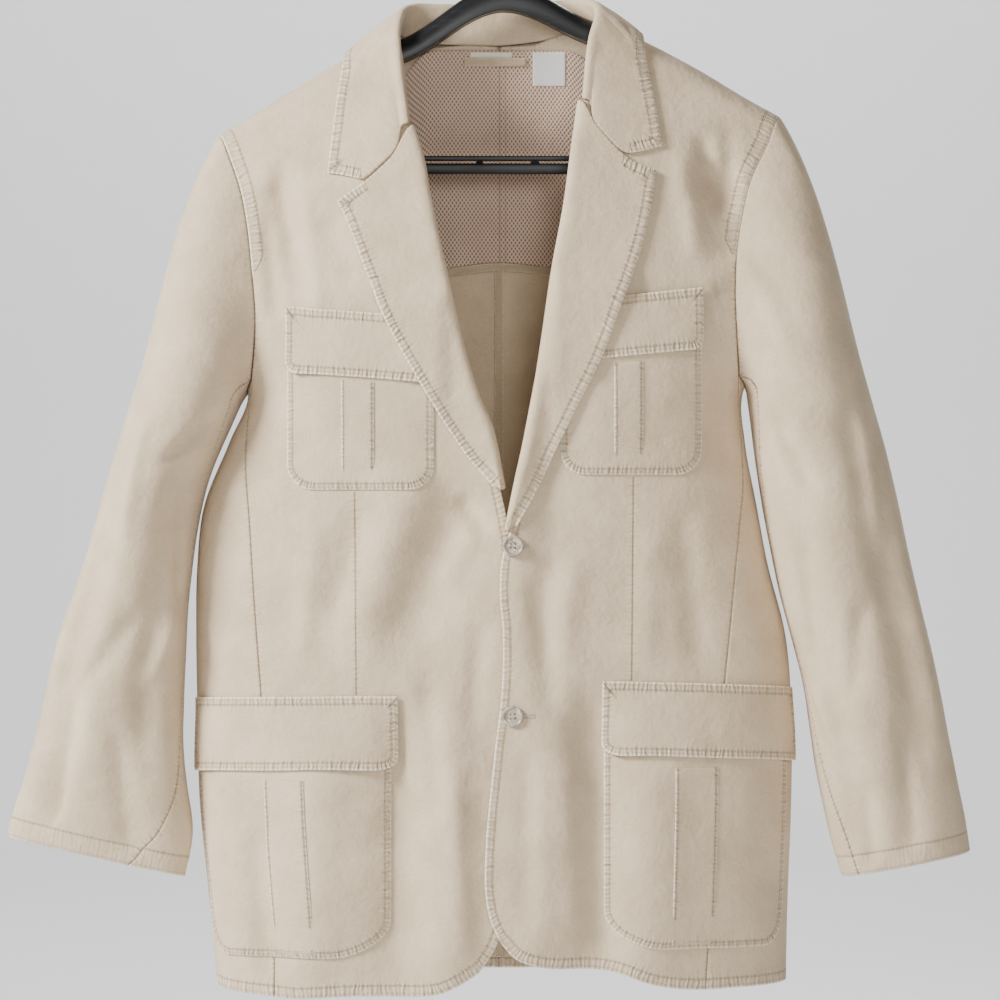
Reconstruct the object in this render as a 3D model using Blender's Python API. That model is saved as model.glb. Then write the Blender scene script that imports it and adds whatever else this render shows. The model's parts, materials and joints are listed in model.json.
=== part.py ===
"""Safari jacket on a moulded suit hanger, as cut and sewn panels.

Sizes are in millimetres and become metres when a mesh is filled. X runs to the
wearer's left, -Y is the front, and the origin is where the hook sits on its rod.
The wearer's right is at -X.
"""
import math

import bmesh
import bpy
import numpy as np
from mathutils import Matrix, Vector

MM = 0.001

# Cloth and seams
WALL = 1.4            # one layer of twill with its seam allowance
DOUBLE = 2.0          # turned and stitched double layers: collar and lapels
SEAM = 0.17           # each panel stops this short of the middle of its seam
LAY = 1.15            # clear space under a piece that lies on a panel
POCKET_WALL = 1.1
PILE = 0.9            # clear space between the layers of a pocket
FLAP = 1.3            # pocket flap
STRIP = 1.0           # stitched strip down the middle of a pocket
OVERLAP_LIFT = 5.8    # the left front lies over the right one
EDGE_TRIM = 1.4       # each front's cut edge lies this far inside its lapel's fold

# Rows of cells in a panel, of which the first lie along the armhole, and seam columns
PANEL_ROWS = 21
SIDE_COLUMNS = 6
SEAM_SPREAD = 1.2     # rows are closer under the arm
# Columns: share of the armhole's length at each row, and the sleeve's turn that meets it
ARM_STEPS = ((0.0, 0), (0.05, 10), (0.10, 19), (0.165, 31), (0.33, 55), (0.55, 85), (0.78, 118),
             (1.0, 150))
ARM_ROWS = len(ARM_STEPS) - 1
SHOULDER_RUNS = (0.0, 11.0, 22.0, 36.0)   # rows that follow the turn over the hanger

# Torso form
ROLL = 18.0           # half thickness where the cloth turns over the hanger
FILL_DROP = 220.0     # drop below the shoulder at which the chest has its full depth
SQUARENESS = 2.6      # exponent of the flattened cross-section

# Columns: height, half width right, half width left, depth front, depth back
TORSO = (
    (-80, 264, 264, 66, 52),
    (-300, 258, 258, 70, 56),
    (-370, 236, 232, 72, 58),
    (-415, 213, 207, 74.5, 58),
    (-455, 228, 208.5, 72, 58),
    (-510, 250, 218.5, 72, 60),
    (-560, 256, 228, 72, 60),
    (-620, 257, 243, 72, 62),
    (-680, 256, 248, 74, 62),
    (-760, 254, 248, 76, 62),
    (-840, 246, 245, 76, 60),
    (-925, 238, 243, 72, 58),
)

# Columns: x, height of the shoulder line
SHOULDER = (
    (-264, -212), (-239, -197.4), (-201, -174), (-167, -153), (-129, -131), (-86, -113),
    (-45, -103), (0, -98), (45, -94), (86, -99), (121, -115), (169, -140.3),
    (211, -165.5), (239, -181), (264, -196),
)

# Large soft folds. Columns: side (-1 front, 1 back), start x, z, end x, z, width, depth
FOLDS = (
    (-1, -24, -480, -83, -625, 30, -5.0),
    (-1, -62, -470, -118, -640, 26, 3.0),
    (-1, -79, -660, -83, -900, 22, -4.5),
    (-1, -48, -650, -40, -900, 24, 3.5),
    (-1, -150, -700, -158, -915, 26, 3.0),
    (-1, 76, -640, 84, -900, 22, -4.0),
    (-1, 46, -620, 40, -890, 22, 3.5),
    (-1, 132, -700, 124, -905, 30, 3.0),
    (-1, -190, -230, -160, -330, 22, -3.0),
    (-1, 178, -215, 196, -300, 20, -3.0),
    (1, -120, -380, -70, -760, 40, -5.0),
    (1, -60, -560, -66, -900, 30, 4.0),
    (1, 96, -360, 76, -740, 42, -5.5),
    (1, 40, -600, 48, -900, 26, 3.5),
    (1, 150, -620, 140, -900, 30, -4.0),
    (1, -165, -640, -150, -905, 28, -3.5),
)

# Outlines as x, z on the cloth, from the neck down
FRONT_EDGE = {
    -1: ((-86, -113), (-80.6, -136), (-73.9, -193), (-64.7, -224), (-59.6, -254), (-47, -312),
         (-34.4, -367), (-20, -417), (-7.6, -447), (2.5, -497), (6.7, -516), (13.4, -556),
         (15, -690), (12.6, -808), (5.9, -858), (-3.4, -882), (-16, -900)),
    1: ((86, -99), (75, -120), (69, -171), (63.8, -207), (56.3, -262), (47, -312),
        (34.4, -396), (23.5, -455), (16, -489), (7.6, -531), (0.8, -556), (-0.8, -585),
        (1.7, -615), (0.8, -665), (-5, -716), (-12.6, -800), (-12.6, -833), (-7.6, -858),
        (0.8, -875)),
}
ARMHOLE = {
    -1: ((-239, -197.4), (-226, -220), (-217.6, -245), (-211.7, -275), (-207.5, -312),
         (-204.5, -350), (-205.5, -376), (-209, -405)),
    1: ((239, -181), (227.6, -203), (211.7, -237), (203.3, -272), (199, -304),
        (198.2, -338), (199.5, -367), (202, -401)),
}
SIDE_SEAM = {
    -1: ((-209, -405), (-212, -440), (-213, -472), (-209, -522), (-205.8, -573), (-202.4, -623),
         (-199, -665), (-188, -890), (-188, -917)),
    1: ((202, -401), (204, -440), (205.8, -491), (202.4, -524), (198.2, -567), (194, -610),
        (189, -659), (174.7, -881), (173, -913)),
}
HEM = ((-238, -910.6), (-213.4, -919.8), (-167, -922.3), (-83, -919), (-49.6, -917.3),
       (-32.8, -910.6), (-16, -900), (0.8, -875), (13.4, -888), (38.6, -895.4), (76.4, -896.3),
       (101.6, -900.5), (131, -910.6), (168.8, -914.8), (202.4, -913), (227.6, -902),
       (243.6, -894.6))
# Back seams. Columns: height, share of the half width
BACK_SEAM = ((-380, 0.955), (-405, 0.95), (-470, 0.93), (-560, 0.88), (-700, 0.85), (-925, 0.84))
BACK_HEM = -909.0
# Each back panel in three solids. Columns: name, first and last row
BACK_PARTS = (("upper_", 0, 7), ("middle_", 7, 13), ("", 13, PANEL_ROWS))
BACK_PART_GAP = 0.006      # share of a row between a cut and its solid
NECK_BACK = (0, -118)      # centre back of the neck seam
# The neck seam between the shoulder and its centre, as x, z
NECK_CURVE = {-1: ((62, -120), (30, -117)), 1: ((62, -106), (30, -117))}
CENTRE_TOP = -200          # the centre back seam is straight from here down
UNDERARM_DIP = 9.0         # the side panel's top sags this far under the arm

# Collar, right to left. Columns: neck x, z, side; roll line x, y, z
COLLAR_ROLL = (
    (-73.9, -191.5, -1, -76.0, None, -191.5),
    (-80.0, -137, -1, -82.5, -37, -134),
    (-84.5, -114, -1, -81.5, -15, -101),
    (-76.0, -114.5, 1, -73.0, 8, -85),
    (-48.0, -117, 1, -48.0, 19, -83),
    (0.0, -117.5, 1, 0.0, 26, -82),
    (48.0, -112, 1, 48.0, 19, -80.5),
    (76.0, -103, 1, 73.0, 7, -81),
    (84.5, -100, -1, 80.0, -17, -94),
    (74.5, -121, -1, 74.5, -38, -121),
    (69.0, -170.5, -1, 71.0, None, -170.5),
)
# Columns: x, z, side of the collar's outer edge at the same stations
COLLAR_EDGE = (
    (-143.6, -233, -1),
    (-139, -194, -1),
    (-133, -150, -1),
    (-118, -139, 1),
    (-72, -146, 1),
    (0, -141, 1),
    (72, -138, 1),
    (112, -125, 1),
    (124, -136, -1),
    (131, -172, -1),
    (137, -210, -1),
)
COLLAR_BULGE = 1.6         # the fall rounds out by this much
SHOULDER_EASE = 2.0        # the collar's edge stands off where it passes over the shoulder
NECK_EASE = 1.0            # the collar's neck seam stands this far off the cloth
COLLAR_ROWS = (3, 3, 7, 3, 2, 2, 3, 7, 3, 3)   # rows between its stations
GORGE = {
    -1: ((-73.9, -193), (-87.4, -218), (-111.7, -240)),
    1: ((69, -172), (78, -190.7), (93.2, -207.5), (104.2, -218)),
}
COLLAR_NOTCH = {-1: ((-129.4, -235.2), (-143.6, -233)), 1: ((118.4, -215.5), (137, -210))}
LAPEL_NOTCH = {-1: ((-129.4, -252), (-135.2, -257)), 1: ((110, -222.6), (131, -231))}
LAPEL_EDGE = {
    -1: ((-135.2, -257), (-129.4, -266.3), (-119.3, -291.5), (-95.8, -352.8), (-74.8, -392.3),
         (-49.6, -434.3), (-24.4, -472), (-3.5, -494)),
    1: ((131, -231), (128.5, -249.5), (118.4, -295.7), (103.3, -337.7), (84.8, -388),
        (63.8, -430), (51.2, -455.3), (28, -502), (14.5, -527)),
}
ROLL_ROWS = slice(2, 10)   # the rows of a front's edge along which its lapel turns
# The lapel's fold, in order round it. Columns: distance outward, height over the cloth
LAPEL_FOLD = ((9, -4.7), (1, -4.7), (-3.0, -3.1), (-4.1, 0.4), (-2.6, 3.8), (2.5, 5.4))
LAPEL_REST = DOUBLE + LAY
NOTCH_GAP = 0.8

# Pockets. Columns: x of outer edge, x of inner edge, top, bottom of pocket, bottom of flap
CHEST_POCKET = {
    -1: (-177, -54, -344, -497.5, -398),
    1: (169.5, 51, -328, -485, -378.5),
}
CHEST_SLANT = {-1: -10.0, 1: -13.0}    # the flap's inner end hangs lower
CHEST_STRIP = {-1: (-131, -103.5, -402.5, -497), 1: (120, 95.8, -386.5, -485)}
CHEST_CORNER = 22.0
# Columns: x of inner edge, pocket's and flap's outer edge as a share of the half width, top,
# bottom, flap end, and how much lower the outer ends of the flap hang
LOWER_POCKET = {
    -1: (-90, 0.988, 0.992, -669, -888, -730, -3.0),
    1: (87.5, 0.972, 0.992, -656.5, -880, -718, -7.0),
}
LOWER_FLAP_EDGE = {-1: -84, 1: 86}
LOWER_STRIP = {-1: (-191, -158, -737, -887), 1: (181, 145, -726, -879)}
LOWER_CORNER = 34.0
FLAP_CORNER = 9.0
UNDER_FLAP = 7.0           # a pocket's mouth lies this far under the top of its flap
BUMP_EDGE = 18.0           # the lapel settles this far beyond a pocket that it crosses

# Sleeve stations down the arm. Columns: outer x, z, inner x, z, half depth, middle y
SLEEVE = {
    -1: ((-305.8, -405, -220.5, -428.4, 70, -6),
         (-326.8, -472, -248, -495.6, 68, -8),
         (-347.8, -547.7, -260.6, -573, 62, -12),
         (-373, -623.3, -265.6, -655.2, 51, -16),
         (-387.2, -686.3, -265.6, -721.6, 41, -20),
         (-405.7, -757.7, -258.5, -787, 27, -22),
         (-415, -789.6, -264.6, -823.2, 18, -23)),
    1: ((308.3, -396.5, 210.5, -420, 68, -6),
        (328.4, -468, 220.5, -494, 65, -8),
        (346.9, -552, 236, -579, 60, -12),
        (365.4, -631.7, 256.5, -658.6, 54, -16),
        (378.8, -699, 266, -726.6, 48, -20),
        (391.4, -766, 280.6, -793, 42, -22),
        (397.3, -801.4, 289, -822.4, 38, -23)),
}
SLEEVE_SQUARENESS = 2.25
CAP_SHARE = 0.36           # share of the sleeve's rows that lie in its cap
CAP_REACH = 0.85
SLEEVE_GAP = 0.5
# Turn of each sleeve seam, in degrees, 0 at the outer edge and 90 in front
FRONT_SEAM_TURN = {-1: (150, 165, 172, 172, 160, 128, 109), 1: (150, 165, 172, 168, 155, 142, 137)}
BACK_SEAM_TURN = {-1: (228, 236, 242, 246, 248, 250, 252), 1: (228, 236, 242, 246, 248, 250, 252)}
UNDERARM_FROM = 150.0
UNDERARM_TO = 210.0
# Lengthwise sleeve folds. Columns: turn, first station, last station, width in degrees, depth
SLEEVE_FOLDS = {
    -1: ((118, 0.3, 4.6, 15, -6.0), (78, 0.8, 5.2, 16, 3.0), (52, 2.2, 5.8, 13, -3.0),
         (300, 0.5, 4.5, 18, -5.0)),
    1: ((62, 0.2, 4.8, 15, -5.5), (98, 1.0, 5.4, 16, 3.0), (128, 2.4, 5.6, 13, -3.0),
        (305, 0.6, 4.4, 18, -5.0)),
}

# Buttons
BUTTON_X = 11.8
BUTTON_HEIGHTS = (-544.0, -685.5)
BUTTON_RADIUS = 8.9
BUTTON_THICK = 3.2

# Inside of the back
LINING_GAP = 1.2
LINING_WALL = 1.0
LINING_HALF = 128.0
LINING_SHOULDER_DROP = 46.0
LINING_END = -309.0        # height of the bound edge beside its arch
LINING_ARCH = 8.0
BINDING_WIDTH = 7.0
BACK_BINDING = (7.5, -330, -900)    # width of the bound centre seam, its top and bottom
NECK_LABEL = (-24.5, 11.0, -127.5, -118.8)
CARE_LABEL = (29, 57, -150, -121)
LOOP_WIDTH = 7.0
LOOP_ENDS = (-30, 23)      # x of its two ends
LOOP_DROP = 8.5            # below the neck seam
LOOP_GAP = 1.9
LABEL_WALL = 1.0
LABEL_GAP = 0.5
LABEL_DROP = 4.0           # a label's top stays this far below the neck seam
NECK_BELOW = 0.6
NECK_GAP = 3.0             # the lining starts this far below the neck seam
TAPE_WALL = 1.2
TAPE_GAP = 0.6

# Hanger
HANGER_REACH = 214.0
ARCH_RISE = 33.0           # the arch stands this far above the shoulder line's middle
ARCH_HALF = 88.0
SLOPE_ROOM = 1.2           # a wall takes more height where the shoulder slopes
HANGER_DEPTH = 15.0
ARCH_DEPTH = 9.5
HANGER_TURN = math.radians(70)   # the upper face rounds down this far to each side
HANGER_THICK = 18.0
ARCH_THICK = 23.0
BAR_TOP = -220.0
BAR_BOTTOM = -229.0
BAR_HALF_DEPTH = 4.6
BAR_REACH = 196.0          # x of the bar's upturned ends
BAR_BEND = 9.0
RAIL_INSET = 1.4           # the rail is this much thinner on each side than the bar
SPACER_INSET = 1.8
RAIL_TOP = -213.6
RAIL_BOTTOM = -217.8
SPACERS = ((-16.5, 6.0), (30.5, 7.5))
HOOK_RADIUS = 23.4         # middle of the wire
HOOK_WIRE = 3.4
HOOK_STEPS = 18
CLEAR = 0.3

KHAKI = (0.60, 0.51, 0.41)
MESH_BEIGE = (0.52, 0.40, 0.32)
BLACK = (0.02, 0.021, 0.024)
PEARL = (0.72, 0.66, 0.60)
WHITE = (0.85, 0.85, 0.84)


def smooth(t):
    """Soft step from 0 to 1."""
    t = np.clip(t, 0.0, 1.0)
    return t * t * (3.0 - 2.0 * t)


def interpolate(knots, rows, at, soft=True):
    """Values of a table at any place between its rows, as a smooth or a straight line."""
    knots = np.asarray(knots, float)
    rows = np.asarray(rows, float)
    at = np.clip(np.asarray(at, float), knots[0], knots[-1])
    if not soft or len(knots) < 3:
        return np.stack([np.interp(at, knots, rows[:, k]) for k in range(rows.shape[1])], -1)
    slopes = np.diff(rows, axis=0) / np.diff(knots)[:, None]
    tangents = np.vstack([slopes[:1], (slopes[1:] + slopes[:-1]) / 2, slopes[-1:]])
    k = np.clip(np.searchsorted(knots, at, side="right") - 1, 0, len(knots) - 2)
    step = np.diff(knots)[k]
    t = ((at - knots[k]) / step)[..., None]
    step = step[..., None]
    start = rows[k] * (2 * t ** 3 - 3 * t ** 2 + 1) + tangents[k] * step * (t ** 3 - 2 * t ** 2 + t)
    end = rows[k + 1] * (3 * t ** 2 - 2 * t ** 3) + tangents[k + 1] * step * (t ** 3 - t ** 2)
    return start + end


def route(points, share, soft=True):
    """Point at a share of the length of a line through the points."""
    points = np.asarray(points, float)
    run = np.concatenate([[0.0], np.cumsum(np.linalg.norm(np.diff(points, axis=0), axis=1))])
    return interpolate(run / run[-1], points, share, soft)


def column(table, k, at):
    """One column of a table whose first column falls from row to row."""
    table = np.asarray(table, float)
    return interpolate(-table[:, 0], table[:, k:k + 1], -np.asarray(at, float))[..., 0]


def shoulder(x):
    table = np.asarray(SHOULDER, float)
    return interpolate(table[:, 0], table[:, 1:], x)[..., 0]


def half_width(z, x):
    return np.where(np.asarray(x) < 0, column(TORSO, 1, z), column(TORSO, 2, z))


def depth(z, front):
    return np.where(front, column(TORSO, 3, z), column(TORSO, 4, z))


def fold_height(x, z, front):
    """How far the large folds stand out or sink in."""
    total = np.zeros(np.broadcast(x, z).shape)
    for side, x0, z0, x1, z1, width, height in FOLDS:
        run = np.array([x1 - x0, z1 - z0], float)
        length = np.hypot(*run)
        along = ((x - x0) * run[0] + (z - z0) * run[1]) / length ** 2
        across = ((x - x0) * run[1] - (z - z0) * run[0]) / length
        ends = smooth(along / 0.25) * smooth((1.15 - along) / 0.3)
        wave = height * np.exp(-(across / width) ** 2) * ends
        total = total + np.where(front == (side < 0), wave, 0.0)
    return total


def edge_lift(x, z, front):
    """The left front stands clear of the right one where they overlap."""
    near = smooth((46.0 - x) / 30.0) * smooth((-380 - z) / 60.0)
    return np.where(front, OVERLAP_LIFT * near, 0.0)


def skin(x, wrap, lifted=False):
    """Point of the cloth's outer face. Wrap runs down the front from the shoulder line
    where it is positive, and down the back where it is negative."""
    x, wrap = np.broadcast_arrays(np.asarray(x, float), np.asarray(wrap, float))
    front = wrap >= 0
    run = np.abs(wrap)
    turn = np.minimum(run / ROLL, math.pi / 2)
    drop = ROLL * (1 - np.cos(turn)) + np.maximum(run - ROLL * math.pi / 2, 0)
    z = shoulder(x) - drop
    share = np.clip(np.abs(x) / half_width(z, x), 0, 0.9999)
    full = depth(z, front) * (1 - share ** SQUARENESS) ** (1 / SQUARENESS)
    ramp = 1 - (1 - np.clip(drop / FILL_DROP, 0, 1)) ** 2
    y = ROLL * np.sin(turn) + (full - ROLL) * ramp
    y = y + fold_height(x, z, front) * smooth((drop - 20) / 60)
    if lifted:
        y = y + edge_lift(x, z, front)
    return np.stack([x, np.where(front, -y, y), z], -1)


def wrap_of(x, z, side=-1):
    """Wrap of a point from its height. Side is -1 in front and 1 behind."""
    drop = np.maximum(shoulder(x) - np.asarray(z, float), 0)
    bend = ROLL * np.arccos(np.clip(1 - drop / ROLL, 0, 1))
    return -side * np.where(drop < ROLL, bend, drop - ROLL + ROLL * math.pi / 2)


def normal_of(surface, a, b, step_a, step_b):
    """Unit normal from small steps on a surface of two values."""
    along_a = surface(a + step_a, b) - surface(a - step_a, b)
    along_b = surface(a, b + step_b) - surface(a, b - step_b)
    normal = np.cross(along_a, along_b)
    return normal / np.maximum(np.linalg.norm(normal, axis=-1, keepdims=True), 1e-9)


def skin_normal(x, wrap, lifted=False):
    """Outward normal of the cloth."""
    normal = normal_of(lambda a, b: skin(a, b, lifted), x, wrap, 0.5, 0.5)
    return -normal


def flank(turn, z, side):
    """Point on the cloth round the side. Turn is 90 degrees at the middle of the front,
    0 at the side's edge and negative behind."""
    turn, z = np.broadcast_arrays(np.asarray(turn, float), np.asarray(z, float))
    angle = np.radians(turn)
    front = turn >= 0
    power = 2 / SQUARENESS
    x = side * half_width(z, side) * np.cos(angle) ** power
    y = depth(z, front) * np.abs(np.sin(angle)) ** power
    y = y + fold_height(x, z, front) * smooth(np.abs(turn) / 25)
    return np.stack([x, np.where(front, -y, y), z], -1)


def flank_normal(turn, z, side):
    """Outward normal round the side, from the plain cross-section."""
    low = flank(turn - 0.6, z, side)
    high = flank(turn + 0.6, z, side)
    along = high - low
    up = flank(turn, z + 1.0, side) - flank(turn, z - 1.0, side)
    normal = np.cross(up, along) * side
    return normal / np.linalg.norm(normal, axis=-1, keepdims=True)


def turn_of(x, z):
    """Turn round the side from a point's x and height."""
    share = np.clip(np.abs(x) / half_width(z, x), 0, 0.9999)
    return np.degrees(np.arccos(share ** (SQUARENESS / 2)))


def coons(u, v, left, right, top, bottom):
    """Point inside four border lines, each a function of its share."""
    uu = u[..., None]
    vv = v[..., None]
    start = np.array(0.0)
    end = np.array(1.0)
    sides = (1 - uu) * left(v) + uu * right(v)
    top_bow = top(u) - (1 - uu) * top(start) - uu * top(end)
    bottom_bow = bottom(u) - (1 - uu) * bottom(start) - uu * bottom(end)
    return sides + (1 - vv) * top_bow + vv * bottom_bow


def make_material(name, colour, roughness, metallic=0.0):
    material = bpy.data.materials.new(name)
    material.use_nodes = True
    shader = material.node_tree.nodes["Principled BSDF"]
    shader.inputs["Base Color"].default_value = (*colour, 1.0)
    shader.inputs["Roughness"].default_value = roughness
    shader.inputs["Metallic"].default_value = metallic
    return material


def add_object(name, bm, material):
    """Turn a bmesh into an object whose faces point out."""
    if bm.calc_volume(signed=True) < 0:
        bmesh.ops.reverse_faces(bm, faces=bm.faces[:])
    mesh = bpy.data.meshes.new(name)
    bm.to_mesh(mesh)
    bm.free()
    mesh.materials.append(material)
    mesh.shade_smooth()
    mesh.set_sharp_from_angle(angle=math.radians(40))
    thing = bpy.data.objects.new(name, mesh)
    bpy.context.scene.collection.objects.link(thing)
    return thing


def make_wall(name, columns, rows, place, material):
    """A closed wall: a slab of cells, bent by place(u, v, inner) into its shape."""
    bm = bmesh.new()
    bmesh.ops.create_grid(bm, x_segments=columns, y_segments=rows, size=0.5)
    copied = bmesh.ops.extrude_face_region(bm, geom=bm.faces[:], use_keep_orig=True)
    raised = [item for item in copied["geom"] if isinstance(item, bmesh.types.BMVert)]
    bmesh.ops.translate(bm, vec=(0, 0, 1), verts=raised)
    bmesh.ops.recalc_face_normals(bm, faces=bm.faces[:])
    flat = np.array([vert.co for vert in bm.verts])
    u = flat[:, 0] + 0.5
    v = flat[:, 1] + 0.5
    points = place(u, v, flat[:, 2] > 0.5) * MM
    for vert, point in zip(bm.verts, points):
        vert.co = point
    return add_object(name, bm, material)


def wall_on(surface, normal, to_plane, lift, thick):
    """Placing function of a wall on a surface: its inner face is at the lift."""
    def place(u, v, inner):
        plane = to_plane(u, v)
        a = plane[..., 0]
        b = plane[..., 1]
        height = np.where(inner, lift, lift + thick)
        return surface(a, b) + normal(a, b) * height[..., None]
    return place


def to_wrap(points, side=-1):
    """A list of x, z as x, wrap."""
    points = np.asarray(points, float)
    return np.stack([points[:, 0], wrap_of(points[:, 0], points[:, 1], side)], -1)


def panel(name, lines, columns, rows, lifted, material, part=(0.0, 1.0)):
    """A wall on the torso between four lines of x, wrap, or a part of its height."""
    left, right, top, bottom = lines

    def to_plane(u, v):
        return coons(u, part[0] + (part[1] - part[0]) * v, left, right, top, bottom)

    place = wall_on(lambda a, b: skin(a, b, lifted), lambda a, b: skin_normal(a, b, lifted),
                    to_plane, -WALL, WALL)
    return make_wall(name, columns, rows, place, material)


def line(points, soft=True):
    """Border line as a function of its share."""
    points = np.asarray(points, float)
    return lambda share: route(points, share, soft)


def hem_between(x0, x1):
    """Hem line's points from one x to another."""
    table = np.asarray(HEM, float)
    inside = [row for row in HEM if min(x0, x1) + 4 < row[0] < max(x0, x1) - 4]
    if x1 < x0:
        inside = inside[::-1]
    ends = [(x, float(np.interp(x, table[:, 0], table[:, 1]))) for x in (x0, x1)]
    return [ends[0], *inside, ends[1]]


def seam_height(share, top, bottom):
    """Height of a seam's rows, closer together under the arm."""
    return top + (bottom - top) * np.clip(share, 0, 1) ** SEAM_SPREAD


def outer_line(arm_points, seam, face, shift):
    """A panel's outer border: its armhole in the first rows and then its side seam."""
    arm = ARM_ROWS / PANEL_ROWS
    seam = np.asarray(seam, float)
    steps = np.asarray(ARM_STEPS, float)

    def border(share):
        share = np.asarray(share, float)
        step = np.interp(share * PANEL_ROWS, np.arange(ARM_ROWS + 1), steps[:, 0])
        above = route(arm_points, step)
        z = seam_height((share - arm) / (1 - arm), seam[0, 1], seam[-1, 1])
        x = column(seam[:, ::-1], 1, z)
        below = np.stack([x, wrap_of(x, z, face)], -1)
        return np.where((share < arm - 1e-6)[..., None], above, below) + np.array([shift, 0.0])

    return border


def inner_line(points, shift, soft):
    """A panel's inner border, whose first rows follow the turn over the shoulder."""
    points = np.asarray(points, float)
    length = np.sum(np.linalg.norm(np.diff(points, axis=0), axis=1))
    rows = [*range(len(SHOULDER_RUNS)), PANEL_ROWS]
    shares = [*(run / length for run in SHOULDER_RUNS), 1.0]

    def border(share):
        along = np.interp(np.asarray(share, float) * PANEL_ROWS, rows, shares)
        return route(points, along, soft) + np.array([shift, 0.0])

    return border


def arm_run(side, face):
    """An armhole as x, wrap from the shoulder down, in front (-1) or behind (1)."""
    run = to_wrap(ARMHOLE[side] if face < 0 else back_armhole(side), face)
    run[0, 1] = -face * SEAM
    return run


def build_front(side, name, material):
    """Front panel: neck, folded edge, hem, side seam, armhole and shoulder."""
    seam = list(SIDE_SEAM[side])
    inner = list(FRONT_EDGE[side])
    hem = hem_between(inner[-1][0], seam[-1][0])
    inner[-1] = hem[0]
    seam[-1] = hem[-1]
    inner_plane = to_wrap(inner)
    inner_plane[0, 1] = SEAM
    outer = outer_line(arm_run(side, -1), seam, -1, -side * SEAM)
    shoulder_line = np.array([inner_plane[0], outer(0.0)])
    lines = (inner_line(inner_plane, side * EDGE_TRIM, True), outer, line(shoulder_line),
             line(to_wrap(hem)))
    return panel(name, lines, 12, PANEL_ROWS, side > 0, material)


def back_seam(side):
    """Seam of the back and the side panel, as x, z, from the armhole to the hem."""
    heights = np.linspace(SIDE_SEAM[side][0][1], BACK_HEM, 9)
    shares = column(BACK_SEAM, 1, heights)
    return [(side * share * float(half_width(z, side)), z) for z, share in zip(heights, shares)]


def build_back(side, word, material):
    """Back panel: neck, centre seam, hem, side seam, armhole and shoulder. It is one piece
    of cloth, cut across twice so that its collision stays thin."""
    neck = FRONT_EDGE[side][0]
    centre = [neck]
    centre += [(side * x, z) for x, z in NECK_CURVE[side]]
    centre.append(NECK_BACK)
    centre += [(0, z) for z in np.linspace(CENTRE_TOP, BACK_HEM, 8)]
    seam = back_seam(side)
    inner_plane = to_wrap(centre, 1)
    inner_plane[0, 1] = -SEAM
    outer = outer_line(arm_run(side, 1), seam, 1, -side * SEAM)
    hem = to_wrap([(x, BACK_HEM) for x in np.linspace(0, seam[-1][0], 9)], 1)
    lines = (inner_line(inner_plane, side * SEAM, False), outer,
             line(np.array([inner_plane[0], outer(0.0)])), line(hem))
    for part, first, last in BACK_PARTS:
        gap = BACK_PART_GAP / PANEL_ROWS
        start = first / PANEL_ROWS + (gap if first else 0)
        end = last / PANEL_ROWS - (gap if last < PANEL_ROWS else 0)
        panel("back_" + part + word, lines, 9, last - first, False, material, (start, end))


def back_armhole(side):
    """Back armhole as x, z, from the shoulder to the back seam."""
    rows = ARMHOLE[side]
    seam_x, seam_z = back_seam(side)[0]
    points = [rows[0]]
    for k in (1, 2, 3, 4, 5):
        x, z = rows[k]
        points.append((x - side * 3.0 * k / 5, z))
    points.append((seam_x, seam_z))
    return points


def side_turns(side, front_z, back_z):
    """Turns of the front and the back edge of the side panel at two heights."""
    front = np.asarray(SIDE_SEAM[side], float)
    back = np.asarray(back_seam(side), float)
    front_x = column(front[:, ::-1], 1, front_z)
    back_x = column(back[:, ::-1], 1, back_z)
    return turn_of(front_x, front_z), -turn_of(back_x, back_z)


def build_side(side, name, material):
    """Side panel, round the side from the front seam to the back seam."""
    top = SIDE_SEAM[side][0][1]
    front_hem = hem_between(FRONT_EDGE[side][-1][0], SIDE_SEAM[side][-1][0])[-1][1]

    def to_plane(u, v):
        front_z = seam_height(v, top, front_hem)
        back_z = seam_height(v, top, BACK_HEM)
        first, last = side_turns(side, front_z, back_z)
        sag = UNDERARM_DIP * np.sin(np.clip(u, 0, 1) * math.pi) * (1 - smooth(v * 4))
        z = front_z * (1 - u) + back_z * u - sag
        gap = np.degrees(SEAM / 60)
        return np.stack([(first - gap) * (1 - u) + (last + gap) * u, z], -1)

    place = wall_on(lambda a, b: flank(a, b, side), lambda a, b: flank_normal(a, b, side),
                    to_plane, -WALL, WALL)
    return make_wall(name, SIDE_COLUMNS, PANEL_ROWS - ARM_ROWS, place, material)


def armhole(side, turn):
    """Point and outward normal of the torso at the armhole. Turn is 0 at the shoulder, 90
    in front, 180 under the arm and 270 behind."""
    turn = np.asarray(turn, float)
    steps = np.asarray(ARM_STEPS, float)
    first = route(arm_run(side, -1), np.interp(turn, steps[:, 1], steps[:, 0]))
    last = route(arm_run(side, 1), np.interp(360 - turn, steps[:, 1], steps[:, 0]))
    top = np.asarray(SIDE_SEAM[side][0][1], float)
    front, back = side_turns(side, top, top)
    share = np.clip((turn - UNDERARM_FROM) / (UNDERARM_TO - UNDERARM_FROM), 0, 1)
    under = front * (1 - share) + back * share
    z = top - UNDERARM_DIP * np.sin(share * math.pi)
    is_front = (turn <= UNDERARM_FROM)[..., None]
    is_back = (turn >= UNDERARM_TO)[..., None]
    points = np.where(is_front, skin(first[..., 0], first[..., 1]),
                      np.where(is_back, skin(last[..., 0], last[..., 1]), flank(under, z, side)))
    normals = np.where(is_front, skin_normal(first[..., 0], first[..., 1]),
                       np.where(is_back, skin_normal(last[..., 0], last[..., 1]),
                                flank_normal(under, z, side)))
    return points, normals


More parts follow.
